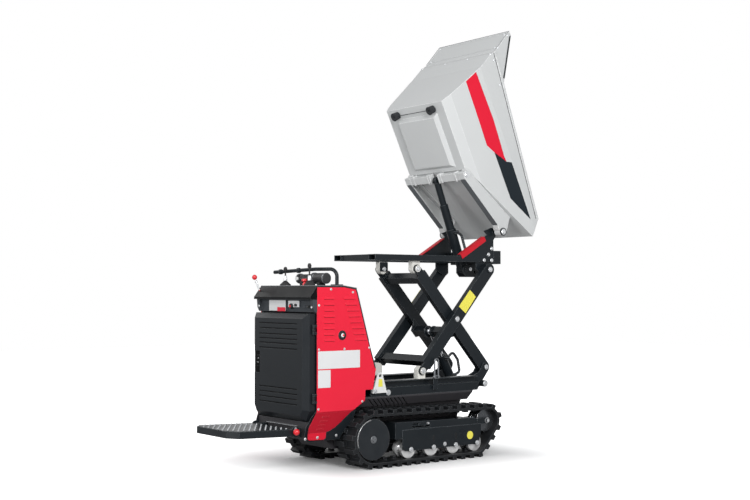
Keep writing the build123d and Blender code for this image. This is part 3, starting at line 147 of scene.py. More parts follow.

# Rubber tracks: one endless moulded belt a side with staggered shoes, black rubber with a fine grit, and
# pale edges on the shoes that are partly scuffs and partly painted highlights. The belts lie round the
# sprocket, idler and rollers.


def linear(red, green, blue):
    """Colour on a screen, 0 to 255, as the shader's linear colour."""
    parts = [c / 255.0 for c in (red, green, blue)]
    return [((c + 0.055) / 1.055) ** 2.4 if c > 0.04 else c / 12.92 for c in parts] + [1.0]


def add_mix(tree, factor, first, second):
    """Colour mix of two outputs or plain colours."""
    mix = tree.nodes.new("ShaderNodeMix")
    mix.data_type = "RGBA"
    for socket, value in ((mix.inputs[0], factor), (mix.inputs[6], first), (mix.inputs[7], second)):
        if isinstance(value, bpy.types.NodeSocket):
            tree.links.new(value, socket)
        else:
            socket.default_value = value
    return mix.outputs[2]


def start_group(name, inputs, outputs):
    """Empty node group with named sockets, and its two end nodes."""
    group = bpy.data.node_groups.new(name, "ShaderNodeTree")
    for label, kind, value in inputs:
        socket = group.interface.new_socket(label, in_out="INPUT", socket_type=kind)
        socket.default_value = value
    for label, kind in outputs:
        group.interface.new_socket(label, in_out="OUTPUT", socket_type=kind)
    return group, group.nodes.new("NodeGroupInput"), group.nodes.new("NodeGroupOutput")


number, vector = "NodeSocketFloat", "NodeSocketVector"
# edges and creases, lightened both for wear and as painted highlights along them
edge_wear_and_highlight, wear_and_highlight_in, wear_and_highlight_out = start_group(
    "edge_wear_and_highlight",
    [("Radius", number, 0.003), ("Amount", number, 0.3), ("Breakup", number, 90.0),
     ("Fold", number, 0.8)],
    [("Mask", number), ("Rounded", vector)])
wear_and_highlight_place = add_node(edge_wear_and_highlight, "ShaderNodeTexCoord")
rounded = add_node(edge_wear_and_highlight, "ShaderNodeBevel", {"samples": 4},
                   links={"Radius": wear_and_highlight_in.outputs["Radius"]})
true_face = add_node(edge_wear_and_highlight, "ShaderNodeNewGeometry")
turned = add_node(edge_wear_and_highlight, "ShaderNodeVectorMath", {"operation": "DOT_PRODUCT"},
                  links={0: rounded.outputs[0], 1: true_face.outputs["Normal"]})
edge = add_node(edge_wear_and_highlight, "ShaderNodeMapRange", values={"From Min": 0.999},
                links={"Value": turned.outputs["Value"], "From Max": wear_and_highlight_in.outputs["Fold"]})
chips = add_node(edge_wear_and_highlight, "ShaderNodeTexNoise", values={"Detail": 5.0, "Roughness": 0.65},
                 links={"Vector": wear_and_highlight_place.outputs["Object"], "Scale": wear_and_highlight_in.outputs["Breakup"]})
chip_cut = add_node(edge_wear_and_highlight, "ShaderNodeMapRange",
                    values={"From Min": 0.40, "From Max": 0.62, "To Min": 0.4},
                    links={"Value": chips.outputs["Fac"]})
broken = multiply(edge_wear_and_highlight, edge.outputs["Result"], chip_cut.outputs["Result"])
scaled = multiply(edge_wear_and_highlight, broken, wear_and_highlight_in.outputs["Amount"], clamp=True)
edge_wear_and_highlight.links.new(scaled, wear_and_highlight_out.inputs["Mask"])
edge_wear_and_highlight.links.new(rounded.outputs[0], wear_and_highlight_out.inputs["Rounded"])

site_dust, dust_in, dust_out = start_group(
    "site_dust", [("Amount", number, 0.3), ("Reach", number, 0.5)], [("Mask", number)])
dust_place = add_node(site_dust, "ShaderNodeTexCoord")
dust_height = add_node(site_dust, "ShaderNodeSeparateXYZ", links={0: dust_place.outputs["Object"]})
dust_low = add_node(site_dust, "ShaderNodeMapRange",
                    values={"From Min": 0.0, "To Min": 1.0, "To Max": 0.15},
                    links={"Value": dust_height.outputs["Z"], "From Max": dust_in.outputs["Reach"]})
dust_cloud = add_node(site_dust, "ShaderNodeTexNoise",
                      values={"Scale": 14.0, "Detail": 8.0, "Roughness": 0.7},
                      links={"Vector": dust_place.outputs["Object"]})
dust_cut = add_node(site_dust, "ShaderNodeMapRange", values={"From Min": 0.42, "From Max": 0.75},
                    links={"Value": dust_cloud.outputs["Fac"]})
dust_face = add_node(site_dust, "ShaderNodeNewGeometry")
dust_up = add_node(site_dust, "ShaderNodeSeparateXYZ", links={0: dust_face.outputs["Normal"]})
dust_lie = add_node(site_dust, "ShaderNodeMapRange", values={"From Min": -0.2, "To Min": 0.25},
                    links={"Value": dust_up.outputs["Z"]})
dust_low_down = multiply(site_dust, dust_low.outputs["Result"], dust_cut.outputs["Result"])
dust_lying = multiply(site_dust, dust_low_down, dust_lie.outputs["Result"])
dust_all = multiply(site_dust, dust_lying, dust_in.outputs["Amount"], clamp=True)
site_dust.links.new(dust_all, dust_out.inputs["Mask"])


def surface(name, base, worn_and_lit_edge, rough, metal=0.0, worn_metal=0.0, wear_and_highlight=0.4, radius=0.0025, mottle=0.12,
            mottle_scale=7.0, grain="noise", grain_scale=600.0, grain_depth=0.00015, dust=0.25,
            stretch=(1.0, 1.0, 1.0), coat=0.0, specular=0.5, fold=0.8, second=None, painted_light_height=(0.0, 1.0)):
    """Finish with worn edges that also carry painted highlights, cloudy tone, fine grain and a little site
    dust.
    """
    finish = bpy.data.materials.new(name)
    finish.use_nodes = True
    tree = finish.node_tree
    skin = tree.nodes["Principled BSDF"]
    place = add_node(tree, "ShaderNodeTexCoord")
    cloud = add_node(tree, "ShaderNodeTexNoise", values={"Scale": mottle_scale, "Detail": 6.0},
                     links={"Vector": place.outputs["Object"]})
    darker = [c * (1.0 - mottle) for c in base[:3]] + [1.0]
    lighter = [min(1.0, c * (1.0 + mottle)) for c in base[:3]] + [1.0]
    tone = add_mix(tree, cloud.outputs["Fac"], darker, lighter)
    drawn = add_node(tree, "ShaderNodeMapping", values={"Scale": stretch},
                     links={"Vector": place.outputs["Object"]})
    if grain == "noise":
        bumps = add_node(tree, "ShaderNodeTexNoise", values={"Scale": grain_scale, "Detail": 3.0},
                         links={"Vector": drawn.outputs[0]}).outputs["Fac"]
    # bands: ribs whose tops take the second tone, as painted highlights
    elif grain == "bands":
        bumps = add_node(tree, "ShaderNodeTexWave", {"bands_direction": "Z"}, {"Scale": grain_scale},
                         {"Vector": drawn.outputs[0]}).outputs["Fac"]
        tone = add_mix(tree, bumps, tone, second)
    else:
        bumps = add_node(tree, "ShaderNodeTexVoronoi", {"feature": "SMOOTH_F1"}, {"Scale": grain_scale},
                         {"Vector": drawn.outputs[0]}).outputs["Distance"]
    # a second tone below or above a height, painted shade or a painted reflection on that part
    if second and grain != "bands":
        height = add_node(tree, "ShaderNodeSeparateXYZ", links={0: place.outputs["Object"]})
        zone = add_node(tree, "ShaderNodeMapRange", values={"From Min": painted_light_height[0], "From Max": painted_light_height[1]},
                        links={"Value": height.outputs["Z"]})
        tone = add_mix(tree, zone.outputs["Result"], second, tone)
    edges = add_node(tree, "ShaderNodeGroup", {"node_tree": edge_wear_and_highlight},
                     {"Radius": radius, "Amount": wear_and_highlight, "Breakup": 90.0, "Fold": fold})
    worn_and_lit_tone = add_mix(tree, edges.outputs["Mask"], tone, worn_and_lit_edge)
    dirt = add_node(tree, "ShaderNodeGroup", {"node_tree": site_dust}, {"Amount": dust, "Reach": 0.5})
    dusty = add_mix(tree, dirt.outputs["Mask"], worn_and_lit_tone, linear(150, 138, 120))
    tree.links.new(dusty, skin.inputs["Base Color"])
    spread = add_node(tree, "ShaderNodeMapRange",
                      values={"From Min": 0.3, "From Max": 0.7, "To Min": rough[0], "To Max": rough[1]},
                      links={"Value": cloud.outputs["Fac"]})
    dull = add_node(tree, "ShaderNodeMath", {"operation": "MULTIPLY_ADD", "use_clamp": True}, {1: 0.5},
                    {0: dirt.outputs["Mask"], 2: spread.outputs["Result"]})
    tree.links.new(dull.outputs[0], skin.inputs["Roughness"])
    if worn_metal != metal:
        shine = add_node(tree, "ShaderNodeMapRange", values={"To Min": metal, "To Max": worn_metal},
                         links={"Value": edges.outputs["Mask"]})
        tree.links.new(shine.outputs["Result"], skin.inputs["Metallic"])
    else:
        skin.inputs["Metallic"].default_value = metal
    skin.inputs["Coat Weight"].default_value = coat
    skin.inputs["Specular IOR Level"].default_value = specular
    skin.inputs["Coat Roughness"].default_value = 0.12
    relief = add_node(tree, "ShaderNodeBump", values={"Strength": 0.6, "Distance": grain_depth},
                      links={"Height": bumps, "Normal": edges.outputs["Rounded"]})
    tree.links.new(relief.outputs[0], skin.inputs["Normal"])
    return finish


def dress(finish, *names):
    """Put a finish on CAD nodes."""
    for name in names:
        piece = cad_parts[name]
        for slot in piece.material_slots:
            slot.material = finish


def settle(name, shape, finish, body, sharp=35.0):
    """Turn a finished bmesh into a piece that rides on a body."""
    bmesh.ops.recalc_face_normals(shape, faces=shape.faces)
    piece = make_object(name, shape, finish)
    piece.data.shade_smooth()
    piece.data.set_sharp_from_angle(angle=math.radians(sharp))
    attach(piece, body)


track_rubber = surface("track_rubber", linear(25, 27, 30), linear(104, 108, 112), (0.45, 0.65), wear_and_highlight=0.7,
                       radius=0.005, grain_scale=260.0, grain_depth=0.0006, dust=0.06, mottle=0.3,
                       specular=0.22)
dress(track_rubber, "track_left", "track_right")

# Running gear: cast drive sprockets with a grey cover disc, steel idlers and twin-rim rollers,
# black track frames. Wheels are bolted on their axles through the roller guard.
# Lengths along the machine are counted from the tracks' middle, forwards and back.
mid = 0.2246
# rollers: steel with a near-white base, which partly paints the bright reflections on them
roller_iron_sheen = surface("roller_iron_sheen", linear(246, 247, 248), linear(252, 252, 252), (0.10, 0.22), metal=0.6,
                      worn_metal=0.6, wear_and_highlight=0.6, grain_scale=420.0, dust=0.1, mottle=0.14, mottle_scale=22.0)
# idlers: steel painted dark for the shade that lies on the wheel, with bright edges that paint rim
# reflections
idler_shade_and_glint = surface("idler_shade_and_glint", linear(96, 99, 103), linear(245, 245, 246), (0.14, 0.3), metal=0.85,
                      worn_metal=0.85, wear_and_highlight=0.95, radius=0.006, grain_scale=420.0, dust=0.08, mottle=0.5,
                      mottle_scale=18.0)
# black powder coat; its pale edges show wear and also paint thin edge highlights
black_coat = surface("black_coat", linear(27, 32, 36), linear(140, 145, 149), (0.26, 0.38), wear_and_highlight=0.7,
                     radius=0.0032, grain_scale=520.0, grain_depth=0.00015, dust=0.03, mottle=0.1,
                     specular=0.2)
hub_grey = surface("hub_grey", linear(38, 42, 46), linear(168, 170, 173), (0.3, 0.42), metal=0.2,
                   worn_metal=0.9, wear_and_highlight=0.9, radius=0.004, dust=0.05, mottle=0.14, mottle_scale=14.0,
                   specular=0.25)
dress(roller_iron_sheen, "bottom_rollers_left", "bottom_rollers_right")
dress(hub_grey, "sprocket_left", "sprocket_right")
dress(idler_shade_and_glint, "idler_left", "idler_right")
dress(black_coat, "track_frame_left", "track_frame_right", "final_drive_left", "final_drive_right")
bright_zinc = surface("bright_zinc", linear(222, 224, 226), linear(245, 245, 246), (0.24, 0.4), metal=0.8,
                      worn_metal=0.8, wear_and_highlight=0.4, radius=0.001, grain="cells", grain_scale=180.0,
                      grain_depth=0.0001, dust=0.04, mottle=0.12, mottle_scale=60.0)
dull_zinc = surface("dull_zinc", linear(120, 123, 127), linear(214, 215, 217), (0.26, 0.4), metal=0.6,
                    worn_metal=0.8, wear_and_highlight=0.6, dust=0.05, mottle=0.15, mottle_scale=30.0)


def facing(out):
    """Turn that points the up direction outwards."""
    return Vector(out).to_track_quat("Z", "Y").to_matrix().to_4x4()


def add_disc(shape, middle, out, radius, end_radius, tall, segments):
    """Round disc or cone about its middle, facing outwards."""
    bmesh.ops.create_cone(shape, cap_ends=True, segments=segments, radius1=radius, radius2=end_radius,
                          depth=tall, matrix=Matrix.Translation(middle) @ facing(out))


def add_bolt(shape, centre, out, across, tall, washer=1.7):
    """Hexagon head on a round washer, standing out of a face."""
    place = Matrix.Translation(Vector(centre)) @ facing(out)
    bmesh.ops.create_cone(shape, cap_ends=True, segments=20, radius1=across * washer / 2,
                          radius2=across * washer / 2 * 0.94, depth=tall * 0.3,
                          matrix=place @ Matrix.Translation((0, 0, tall * 0.15)))
    bmesh.ops.create_cone(shape, cap_ends=True, segments=6, radius1=across * 0.577,
                          radius2=across * 0.52, depth=tall * 0.7,
                          matrix=place @ Matrix.Translation((0, 0, tall * 0.65)))


def on_side(x1, z1, x2, z2, y):
    """Corners of a rectangle that faces sideways, from its low and high corner."""
    return [(x1, y, z1), (x2, y, z1), (x2, y, z2), (x1, y, z2)]


def add_plate(shape, corners, out, thick, corner=0.0):
    """Flat plate on its back face's corners, standing out by its thickness."""
    before = set(shape.faces)
    ring = [shape.verts.new(spot) for spot in corners]
    shape.faces.new(ring)
    if corner:
        bmesh.ops.bevel(shape, geom=ring, offset=corner, affect="VERTICES", segments=4, profile=0.5,
                        material=-1)
    back = [face for face in shape.faces if face not in before]
    front = bmesh.ops.extrude_face_region(shape, geom=back)
    lifted = [item for item in front["geom"] if isinstance(item, bmesh.types.BMVert)]
    bmesh.ops.translate(shape, verts=lifted, vec=Vector(out).normalized() * thick)


def soften(shape, offset):
    """Round off a shape's sharp edges."""
    bmesh.ops.bevel(shape, geom=[e for e in shape.edges if e.calc_face_angle(0) > 1.0], offset=offset,
                    affect="EDGES", segments=2, profile=0.5, material=-1)


# bolts on the rollers' and idler's axles and in the guard, and the drive's bolt in its cover disc
hub = Vector((mid - 0.464, 0.3401, 0.174))
beam_y = 0.3361
roller_x = [mid - 0.174 + 0.1827 * k for k in range(4)]
track_bolts, hub_bolts = bmesh.new(), bmesh.new()
for side in (-1, 1):
    for x in roller_x:
        add_bolt(track_bolts, (x, side * 0.3419, 0.092), (0, side, 0), 0.019, 0.008)
    add_bolt(track_bolts, (mid + 0.104, side * beam_y, 0.104), (0, side, 0), 0.016, 0.007)
    add_bolt(hub_bolts, (hub.x, side * hub.y, hub.z), (0, side, 0), 0.024, 0.012, washer=1.9)
    add_bolt(track_bolts, (mid + 0.470, side * 0.3321, 0.226), (0, side, 0), 0.022, 0.010)
settle("track_bolts", track_bolts, bright_zinc, "chassis")
settle("hub_bolts", hub_bolts, dull_zinc, "chassis")

# caps of the belt tensioners, each with a grease nipple
tension_caps, nipples = bmesh.new(), bmesh.new()
cap_x, cap_z = mid - 0.040, 0.2435
cap_line = [(-0.070, -0.012), (0.065, -0.012), (0.065, 0.008), (-0.055, 0.008)]
for side in (-1, 1):
    add_plate(tension_caps, [(cap_x + dx, side * 0.330, cap_z + dz) for dx, dz in cap_line], (0, -side, 0),
              0.040, corner=0.003)
    add_bolt(nipples, (cap_x + 0.008, side * 0.3301, cap_z - 0.001), (0, side, 0), 0.012, 0.010, washer=1.3)
settle("tension_caps", tension_caps, black_coat, "chassis")
settle("grease_nipples", nipples, bright_zinc, "chassis")

# bright arc on the rear rim of each cover disc, a painted highlight
cover_highlight_arcs = bmesh.new()
rim_r, rim_start, rim_sweep = 0.118, 0.35, 1.75
for side in (-1, 1):
    centre = Vector((hub.x, side * 0.3402, hub.z))
    start = bmesh.ops.create_circle(cover_highlight_arcs, segments=4, radius=0.0028, matrix=Matrix.Translation(
        centre + Vector((-rim_r * math.cos(rim_start), 0, -rim_r * math.sin(rim_start)))))
    ring = start["verts"] + list({e for v in start["verts"] for e in v.link_edges})
    bmesh.ops.spin(cover_highlight_arcs, geom=ring, cent=centre, axis=(0, 1, 0), dvec=(0, 0, 0), angle=rim_sweep,
                   steps=24, use_duplicate=False)
settle("cover_highlight_arcs", cover_highlight_arcs, roller_iron_sheen, "chassis", sharp=60.0)

# dark plates that paint the shade in the upright slots over the middle axles, through which the axles are
# greased
grease_slot_shade = bmesh.new()
for side in (-1, 1):
    for x in (mid + 0.012, mid + 0.197):
        add_plate(grease_slot_shade, on_side(x - 0.0075, 0.126, x + 0.0075, 0.167, side * beam_y), (0, side, 0),
                  0.0005, corner=0.0072)
settle("grease_slot_shade", grease_slot_shade, track_rubber, "chassis")

# blank round yellow sticker on each roller guard
yellow_vinyl = surface("yellow_vinyl", linear(236, 226, 92), linear(244, 240, 170), (0.34, 0.46), wear_and_highlight=0.1,
                       grain_scale=300.0, dust=0.04, mottle=0.03, specular=0.3)
stickers = bmesh.new()
for side in (-1, 1):
    add_disc(stickers, (mid + 0.317, side * 0.3363, 0.143), (0, side, 0), 0.026, 0.026, 0.0005, 40)
settle("guard_stickers", stickers, yellow_vinyl, "chassis")

# Chassis: a folded hull between the tracks, two open rails on it and the front pivot brackets,
# all black powder coat, with white tie-down ears bolted at the rear and a zinc-plated prop.
# the hull's black coat, painted lighter to lift the shade that lies on it under the rails
hull_lit_coat = surface("hull_lit_coat", linear(56, 55, 58), linear(132, 134, 138), (0.36, 0.48), wear_and_highlight=0.5,
                    radius=0.0032, grain_scale=420.0, grain_depth=0.0002, dust=0.05, mottle=0.14,
                    specular=0.25)
dress(hull_lit_coat, "hull")
dress(black_coat, "chassis_rails", "pivot_brackets", "stay_pivot")
white_coat = surface("white_coat", linear(226, 227, 226), linear(168, 168, 168), (0.35, 0.5), wear_and_highlight=0.3,
                     dust=0.2, mottle=0.05)
dress(white_coat, "lifting_ear_left", "lifting_ear_right")
dress(dull_zinc, "rail_stay")

# blank yellow signs on the ears, and the bolts of the ears, rails and pivot brackets: distance
# ahead of the middle, distance aside, height, width across the flats, height of the head
ear_y = 0.2641
ear_sign = [(-0.368, 0.478), (-0.334, 0.478), (-0.338, 0.524), (-0.365, 0.524)]
ear_signs, chassis_bolts = bmesh.new(), bmesh.new()
for side in (-1, 1):
    add_plate(ear_signs, [(mid + x, side * ear_y, z) for x, z in ear_sign], (0, side, 0), 0.0004,
              corner=0.003)
    for x, y, z, across, tall in ((-0.390, ear_y, 0.452, 0.017, 0.007),
                                  (-0.275, 0.2441, 0.438, 0.022, 0.009),
                                  (0.528, 0.2562, 0.455, 0.024, 0.008),
                                  (0.575, 0.2162, 0.558, 0.020, 0.008)):
        add_bolt(chassis_bolts, (mid + x, side * y, z), (0, side, 0), across, tall)
settle("ear_signs", ear_signs, yellow_vinyl, "chassis")
settle("chassis_bolts", chassis_bolts, bright_zinc, "chassis")

# Engine housing: a black folded frame and door with two bright red bolted side covers that
# have pressed louvres. The engine stands inside on the hull's rear tray.
# bright red; below the skirts' top edge it turns darker, painted shade on the skirts that lean inwards
red_gloss_shaded_low = surface("red_gloss_shaded_low", linear(224, 33, 58), linear(247, 130, 140), (0.3, 0.4), wear_and_highlight=0.35,
                    radius=0.0022, grain_scale=240.0, grain_depth=0.00012, dust=0.02, mottle=0.015,
                    specular=0.25, second=linear(176, 14, 38), painted_light_height=(0.352, 0.360))
engine_iron = surface("engine_iron", linear(58, 58, 60), linear(120, 118, 115), (0.55, 0.72), metal=0.4,
                      wear_and_highlight=0.4, dust=0.4, mottle=0.25, mottle_scale=16.0)
dress(red_gloss_shaded_low, "side_panel_left", "side_panel_right")
dress(black_coat, "housing_frame", "door_hinges")
dress(engine_iron, "engine_block")
door_coat = surface("door_coat", linear(25, 29, 33), linear(104, 110, 115), (0.32, 0.42), wear_and_highlight=0.3,
                    radius=0.003, grain_scale=420.0, grain_depth=0.0002, dust=0.02, mottle=0.06,
                    specular=0.22)
dress(door_coat, "engine_door")

# dark plates that paint the shade in the air slots under the door's pressed hoods, on the floor of the
# unlit latch pocket and on its pull
shade_black = surface("shade_black", linear(9, 10, 11), linear(30, 32, 34), (0.6, 0.75), wear_and_highlight=0.2,
                     grain_scale=400.0, dust=0.02, mottle=0.1, specular=0.08)
slot_z = (0.868, 0.838, 0.804, 0.777, 0.750, 0.720, 0.487, 0.457, 0.427, 0.397)
rear = (-1, 0, 0)


def on_rear(y1, z1, y2, z2, x):
    """Corners of a rectangle that faces backwards, from its low and high corner."""
    return [(x, y1, z1), (x, y2, z1), (x, y2, z2), (x, y1, z2)]


door_shade_plates = bmesh.new()
for z in slot_z:
    add_plate(door_shade_plates, on_rear(-0.204, z - 0.0038, 0.204, z + 0.0026, mid - 0.9219), rear, 0.0006)
add_plate(door_shade_plates, on_rear(0.200, 0.566, 0.284, 0.694, mid - 0.9009), rear, 0.0008)
add_plate(door_shade_plates, on_rear(0.209, 0.605, 0.241, 0.667, mid - 0.9151), rear, 0.0008, corner=0.003)
settle("door_shade_plates", door_shade_plates, shade_black, "engine_door")
latch_bolts = bmesh.new()
for y, z in ((0.222, 0.650), (0.230, 0.626)):
    add_bolt(latch_bolts, (mid - 0.9159, y, z), rear, 0.008, 0.005, washer=1.4)
settle("latch_bolts", latch_bolts, dull_zinc, "engine_door")

# screws of a side cover: distance ahead of the middle, height
cover_y = 0.3021
cover_screws = ((-0.750, 1.070), (-0.590, 1.052), (-0.836, 0.976), (-0.836, 0.719), (-0.652, 0.718),
                (-0.467, 0.720), (-0.839, 0.374), (-0.520, 0.402))
panel_screws = bmesh.new()
for side in (-1, 1):
    for x, z in cover_screws:
        add_bolt(panel_screws, (mid + x, side * cover_y, z), (0, side, 0), 0.009, 0.004)
settle("panel_screws", panel_screws, bright_zinc, "chassis")

# cap in each cover's filler port: collar, flange and face, then a white ring and a red eye
port_x, port_z = mid - 0.670, 0.799
port_caps, port_rings, port_eyes = bmesh.new(), bmesh.new(), bmesh.new()
for side in (-1, 1):
    out = (0, side, 0)
    for radius, back, front in ((0.0245, 0.290, 0.3052), (0.0290, 0.3052, 0.3062),
                                (0.0175, 0.3062, 0.3068)):
        add_disc(port_caps, (port_x, side * (front + back) / 2, port_z), out, radius, radius * 0.96,
                 front - back, 32)
    add_disc(port_rings, (port_x + 0.002, side * 0.3078, port_z), out, 0.0125, 0.011, 0.0026, 28)
    add_disc(port_eyes, (port_x + 0.006, side * 0.3095, port_z), out, 0.0065, 0.006, 0.003, 24)
settle("port_caps", port_caps, track_rubber, "chassis")
settle("port_rings", port_rings, white_coat, "chassis")
settle("port_eyes", port_eyes, red_gloss_shaded_low, "chassis")

# blank white signs on the right-hand cover: lower rear corner and upper front corner
white_vinyl = surface("white_vinyl", linear(216, 217, 218), linear(200, 200, 201), (0.32, 0.44), wear_and_highlight=0.15,
                      grain_scale=300.0, dust=0.02, mottle=0.02)
cover_signs = bmesh.new()
for x, z, far_x, far_z in ((-0.843, 0.605, -0.537, 0.709), (-0.843, 0.496, -0.753, 0.599)):
    add_plate(cover_signs, on_side(mid + x, z, mid + far_x, far_z, -cover_y), (0, -1, 0), 0.0005,
              corner=0.003)
settle("cover_signs", cover_signs, white_vinyl, "chassis")

# black frame edge that shows past each cover along its top and front
cover_trims = bmesh.new()
trim_wide = 0.0075
trim_line = [(-0.417, 0.597), (-0.454, 0.709), (-0.552, 1.045), (-0.563, 1.074), (-0.656, 1.089),
             (-0.849, 1.089)]
for side in (-1, 1):
    for (x1, z1), (x2, z2) in zip(trim_line, trim_line[1:]):
        run = Vector((x2 - x1, 0, z2 - z1)).normalized()
        inward = trim_wide * Vector((-run.z, 0, run.x))
        first, last = Vector((mid + x1, side * cover_y, z1)), Vector((mid + x2, side * cover_y, z2))
        add_plate(cover_trims, [first, last, last + inward, first + inward], (0, side, 0), 0.0006)
settle("cover_trims", cover_trims, black_coat, "chassis")

# black backing plates that show round the lower edge of each red skirt, which leans inwards
skirt_backs = bmesh.new()
lean = math.radians(14.0)
skirt_top = 0.358
back_line = [(-0.849, 0.361), (-0.874, 0.330), (-0.905, 0.268), (-0.905, 0.205), (-0.880, 0.182),
             (-0.660, 0.182), (-0.640, 0.230), (-0.560, 0.330), (-0.560, 0.361)]
for side in (-1, 1):
    corners = []
    for x, z in back_line:
        down = (skirt_top - z) / math.cos(lean)
        corners.append((mid + x, side * (0.2905 - down * math.sin(lean)), z))
    add_plate(skirt_backs, corners, (0, -side, 0), 0.005)
settle("skirt_backs", skirt_backs, black_coat, "chassis")


def on_skirt(side, x, z, out):
    """Place on the leaning lower part of a cover, at a distance from its sheet."""
    return Vector((mid + x, side * (0.302 - (skirt_top - z) * math.tan(lean) + out * math.cos(lean)),
                   z - out * math.sin(lean)))


# outer skirt plates with their pressed louvres and bolted feet, and the black flanges beside them
red_foot = surface("red_foot", linear(214, 26, 50), linear(240, 120, 130), (0.32, 0.42), wear_and_highlight=0.4,
                   radius=0.0022, grain_scale=240.0, dust=0.03, mottle=0.03, specular=0.25)
skirt_line = [(-0.855, 0.352), (-0.893, 0.274), (-0.891, 0.237), (-0.766, 0.236), (-0.742, 0.243),
              (-0.706, 0.261), (-0.664, 0.295), (-0.600, 0.352)]
foot_line = [(-0.891, 0.2365), (-0.891, 0.203), (-0.878, 0.195), (-0.776, 0.192), (-0.763, 0.203),
             (-0.766, 0.2355)]
flange_line = [(-0.602, 0.350), (-0.665, 0.294), (-0.707, 0.260), (-0.743, 0.242), (-0.764, 0.235),
               (-0.762, 0.200), (-0.776, 0.188), (-0.660, 0.186), (-0.640, 0.230), (-0.575, 0.320),
               (-0.575, 0.350)]
louvre_line = [(-0.027, -0.0035), (0.027, -0.0035), (0.027, 0.0030), (-0.025, 0.0045)]
skirt_plates, skirt_feet = bmesh.new(), bmesh.new()
skirt_flanges, skirt_screws = bmesh.new(), bmesh.new()
for side in (-1, 1):
    face_way = Vector((0, side * math.cos(lean), -math.sin(lean)))
    for shape, line, out, thick in ((skirt_plates, skirt_line, 0.0032, 0.0010),
                                    (skirt_feet, foot_line, 0.0032, 0.0016),
                                    (skirt_flanges, flange_line, 0.0024, 0.0012)):
        add_plate(shape, [on_skirt(side, x, z, out) for x, z in line], face_way, thick)
    for x, z in ((-0.784, 0.3285), (-0.796, 0.3035), (-0.807, 0.2790), (-0.815, 0.2550)):
        corners = [on_skirt(side, x + dx, z + dz, 0.0042) for dx, dz in louvre_line]
        add_plate(skirt_plates, corners, face_way, 0.0026)
    for x, z, out in ((-0.824, 0.208, 0.0048), (-0.687, 0.211, 0.0036), (-0.898, 0.200, -0.0100)):
        add_bolt(skirt_screws, on_skirt(side, x, z, out), face_way, 0.011, 0.005)
# the skirt plates lie below that edge and take the red's painted shade
settle("skirt_plates", skirt_plates, red_gloss_shaded_low, "chassis", sharp=25.0)
settle("skirt_feet", skirt_feet, red_foot, "chassis")
settle("skirt_flanges", skirt_flanges, black_coat, "chassis")
settle("skirt_screws", skirt_screws, bright_zinc, "chassis")

# Console over the door: black sheet visor and panel, top plate with the bent handlebar,
# rubber-booted levers with ball grips, and the round air cleaner in moulded plastic.
black_plastic = surface("black_plastic", linear(34, 35, 37), linear(82, 84, 86), (0.42, 0.6), wear_and_highlight=0.35,
                        grain="cells", grain_scale=700.0, grain_depth=0.0003, dust=0.1, mottle=0.12)
boot_rubber = surface("boot_rubber", linear(26, 26, 28), linear(60, 60, 62), (0.6, 0.78), wear_and_highlight=0.3,
                      grain_scale=500.0, dust=0.15, mottle=0.15)
red_plastic = surface("red_plastic", linear(214, 34, 44), linear(235, 120, 120), (0.22, 0.34), wear_and_highlight=0.2,
                      grain_scale=300.0, dust=0.05, mottle=0.06, coat=0.3)
# nearly black coat for the panel and visor, lighter above the panel's top edge as a painted reflection,
# with pale edges that paint highlights
console_coat_lit_top = surface("console_coat_lit_top", linear(8, 10, 12), linear(126, 131, 135), (0.36, 0.48), wear_and_highlight=0.6,
                       radius=0.0028, grain_scale=520.0, grain_depth=0.00005, dust=0.0, mottle=0.04,
                       specular=0.1, second=linear(64, 68, 72), painted_light_height=(1.006, 1.012))
# grey top plate, its light tone a painted reflection of the tent seen at a grazing angle
plate_coat_sheen = surface("plate_coat_sheen", linear(92, 96, 99), linear(190, 193, 196), (0.14, 0.24), wear_and_highlight=0.6,
                     radius=0.0028, grain_scale=520.0, grain_depth=0.00005, dust=0.0, mottle=0.08,
                     specular=0.7)
dress(console_coat_lit_top, "instrument_panel")
dress(plate_coat_sheen, "console_plate")
dress(black_coat, "handlebar")
dress(boot_rubber, "control_levers")
dress(red_plastic, "ball_lever", "stop_button")
dress(black_plastic, "air_cleaner")

# black strip that paints the shade in the gap between the door and the panel
gap_shade = bmesh.new()
add_plate(gap_shade, on_rear(-0.269, 0.895, 0.269, 0.948, mid - 0.8515), (1, 0, 0), 0.002)
settle("gap_shade", gap_shade, shade_black, "chassis")

# blank signs on the panel, and the red patch in the corner of the wide one
panel_x = mid - 0.8671
console_signs, corner_patch = bmesh.new(), bmesh.new()
for low_y, low_z, high_y, high_z in ((-0.0005, 0.940, 0.1805, 1.004), (-0.1445, 0.964, -0.0275, 1.002)):
    add_plate(console_signs, on_rear(low_y, low_z, high_y, high_z, panel_x), rear, 0.0005, corner=0.003)
add_plate(corner_patch, on_rear(0.002, 0.938, 0.090, 0.962, panel_x - 0.0006), rear, 0.0004, corner=0.003)
settle("console_signs", console_signs, white_vinyl, "chassis")
settle("corner_patch", corner_patch, red_gloss_shaded_low, "chassis")

# switch knob and keys on the panel, with the switch's red cap: across, height, radius, length
switch_y, switch_z = -0.064, 0.969
knobs, knob_cap = bmesh.new(), bmesh.new()
for y, z, radius, length in ((switch_y, switch_z, 0.017, 0.012), (-0.113, 0.976, 0.009, 0.012),
                             (-0.239, 0.967, 0.009, 0.010)):
    add_disc(knobs, (mid - 0.8672 - length / 2, y, z), rear, radius, radius * 0.86, length, 24)
soften(knobs, 0.0012)
add_disc(knob_cap, (mid - 0.8812, switch_y, switch_z), rear, 0.009, 0.0075, 0.005, 24)
settle("panel_knobs", knobs, black_plastic, "chassis")
settle("knob_cap", knob_cap, red_plastic, "chassis")
console_screws = bmesh.new()
for y, z in ((0.281, 0.967), (-0.283, 0.965)):
    add_bolt(console_screws, (mid - 0.8757, y, z), rear, 0.009, 0.004)
settle("console_screws", console_screws, bright_zinc, "chassis")

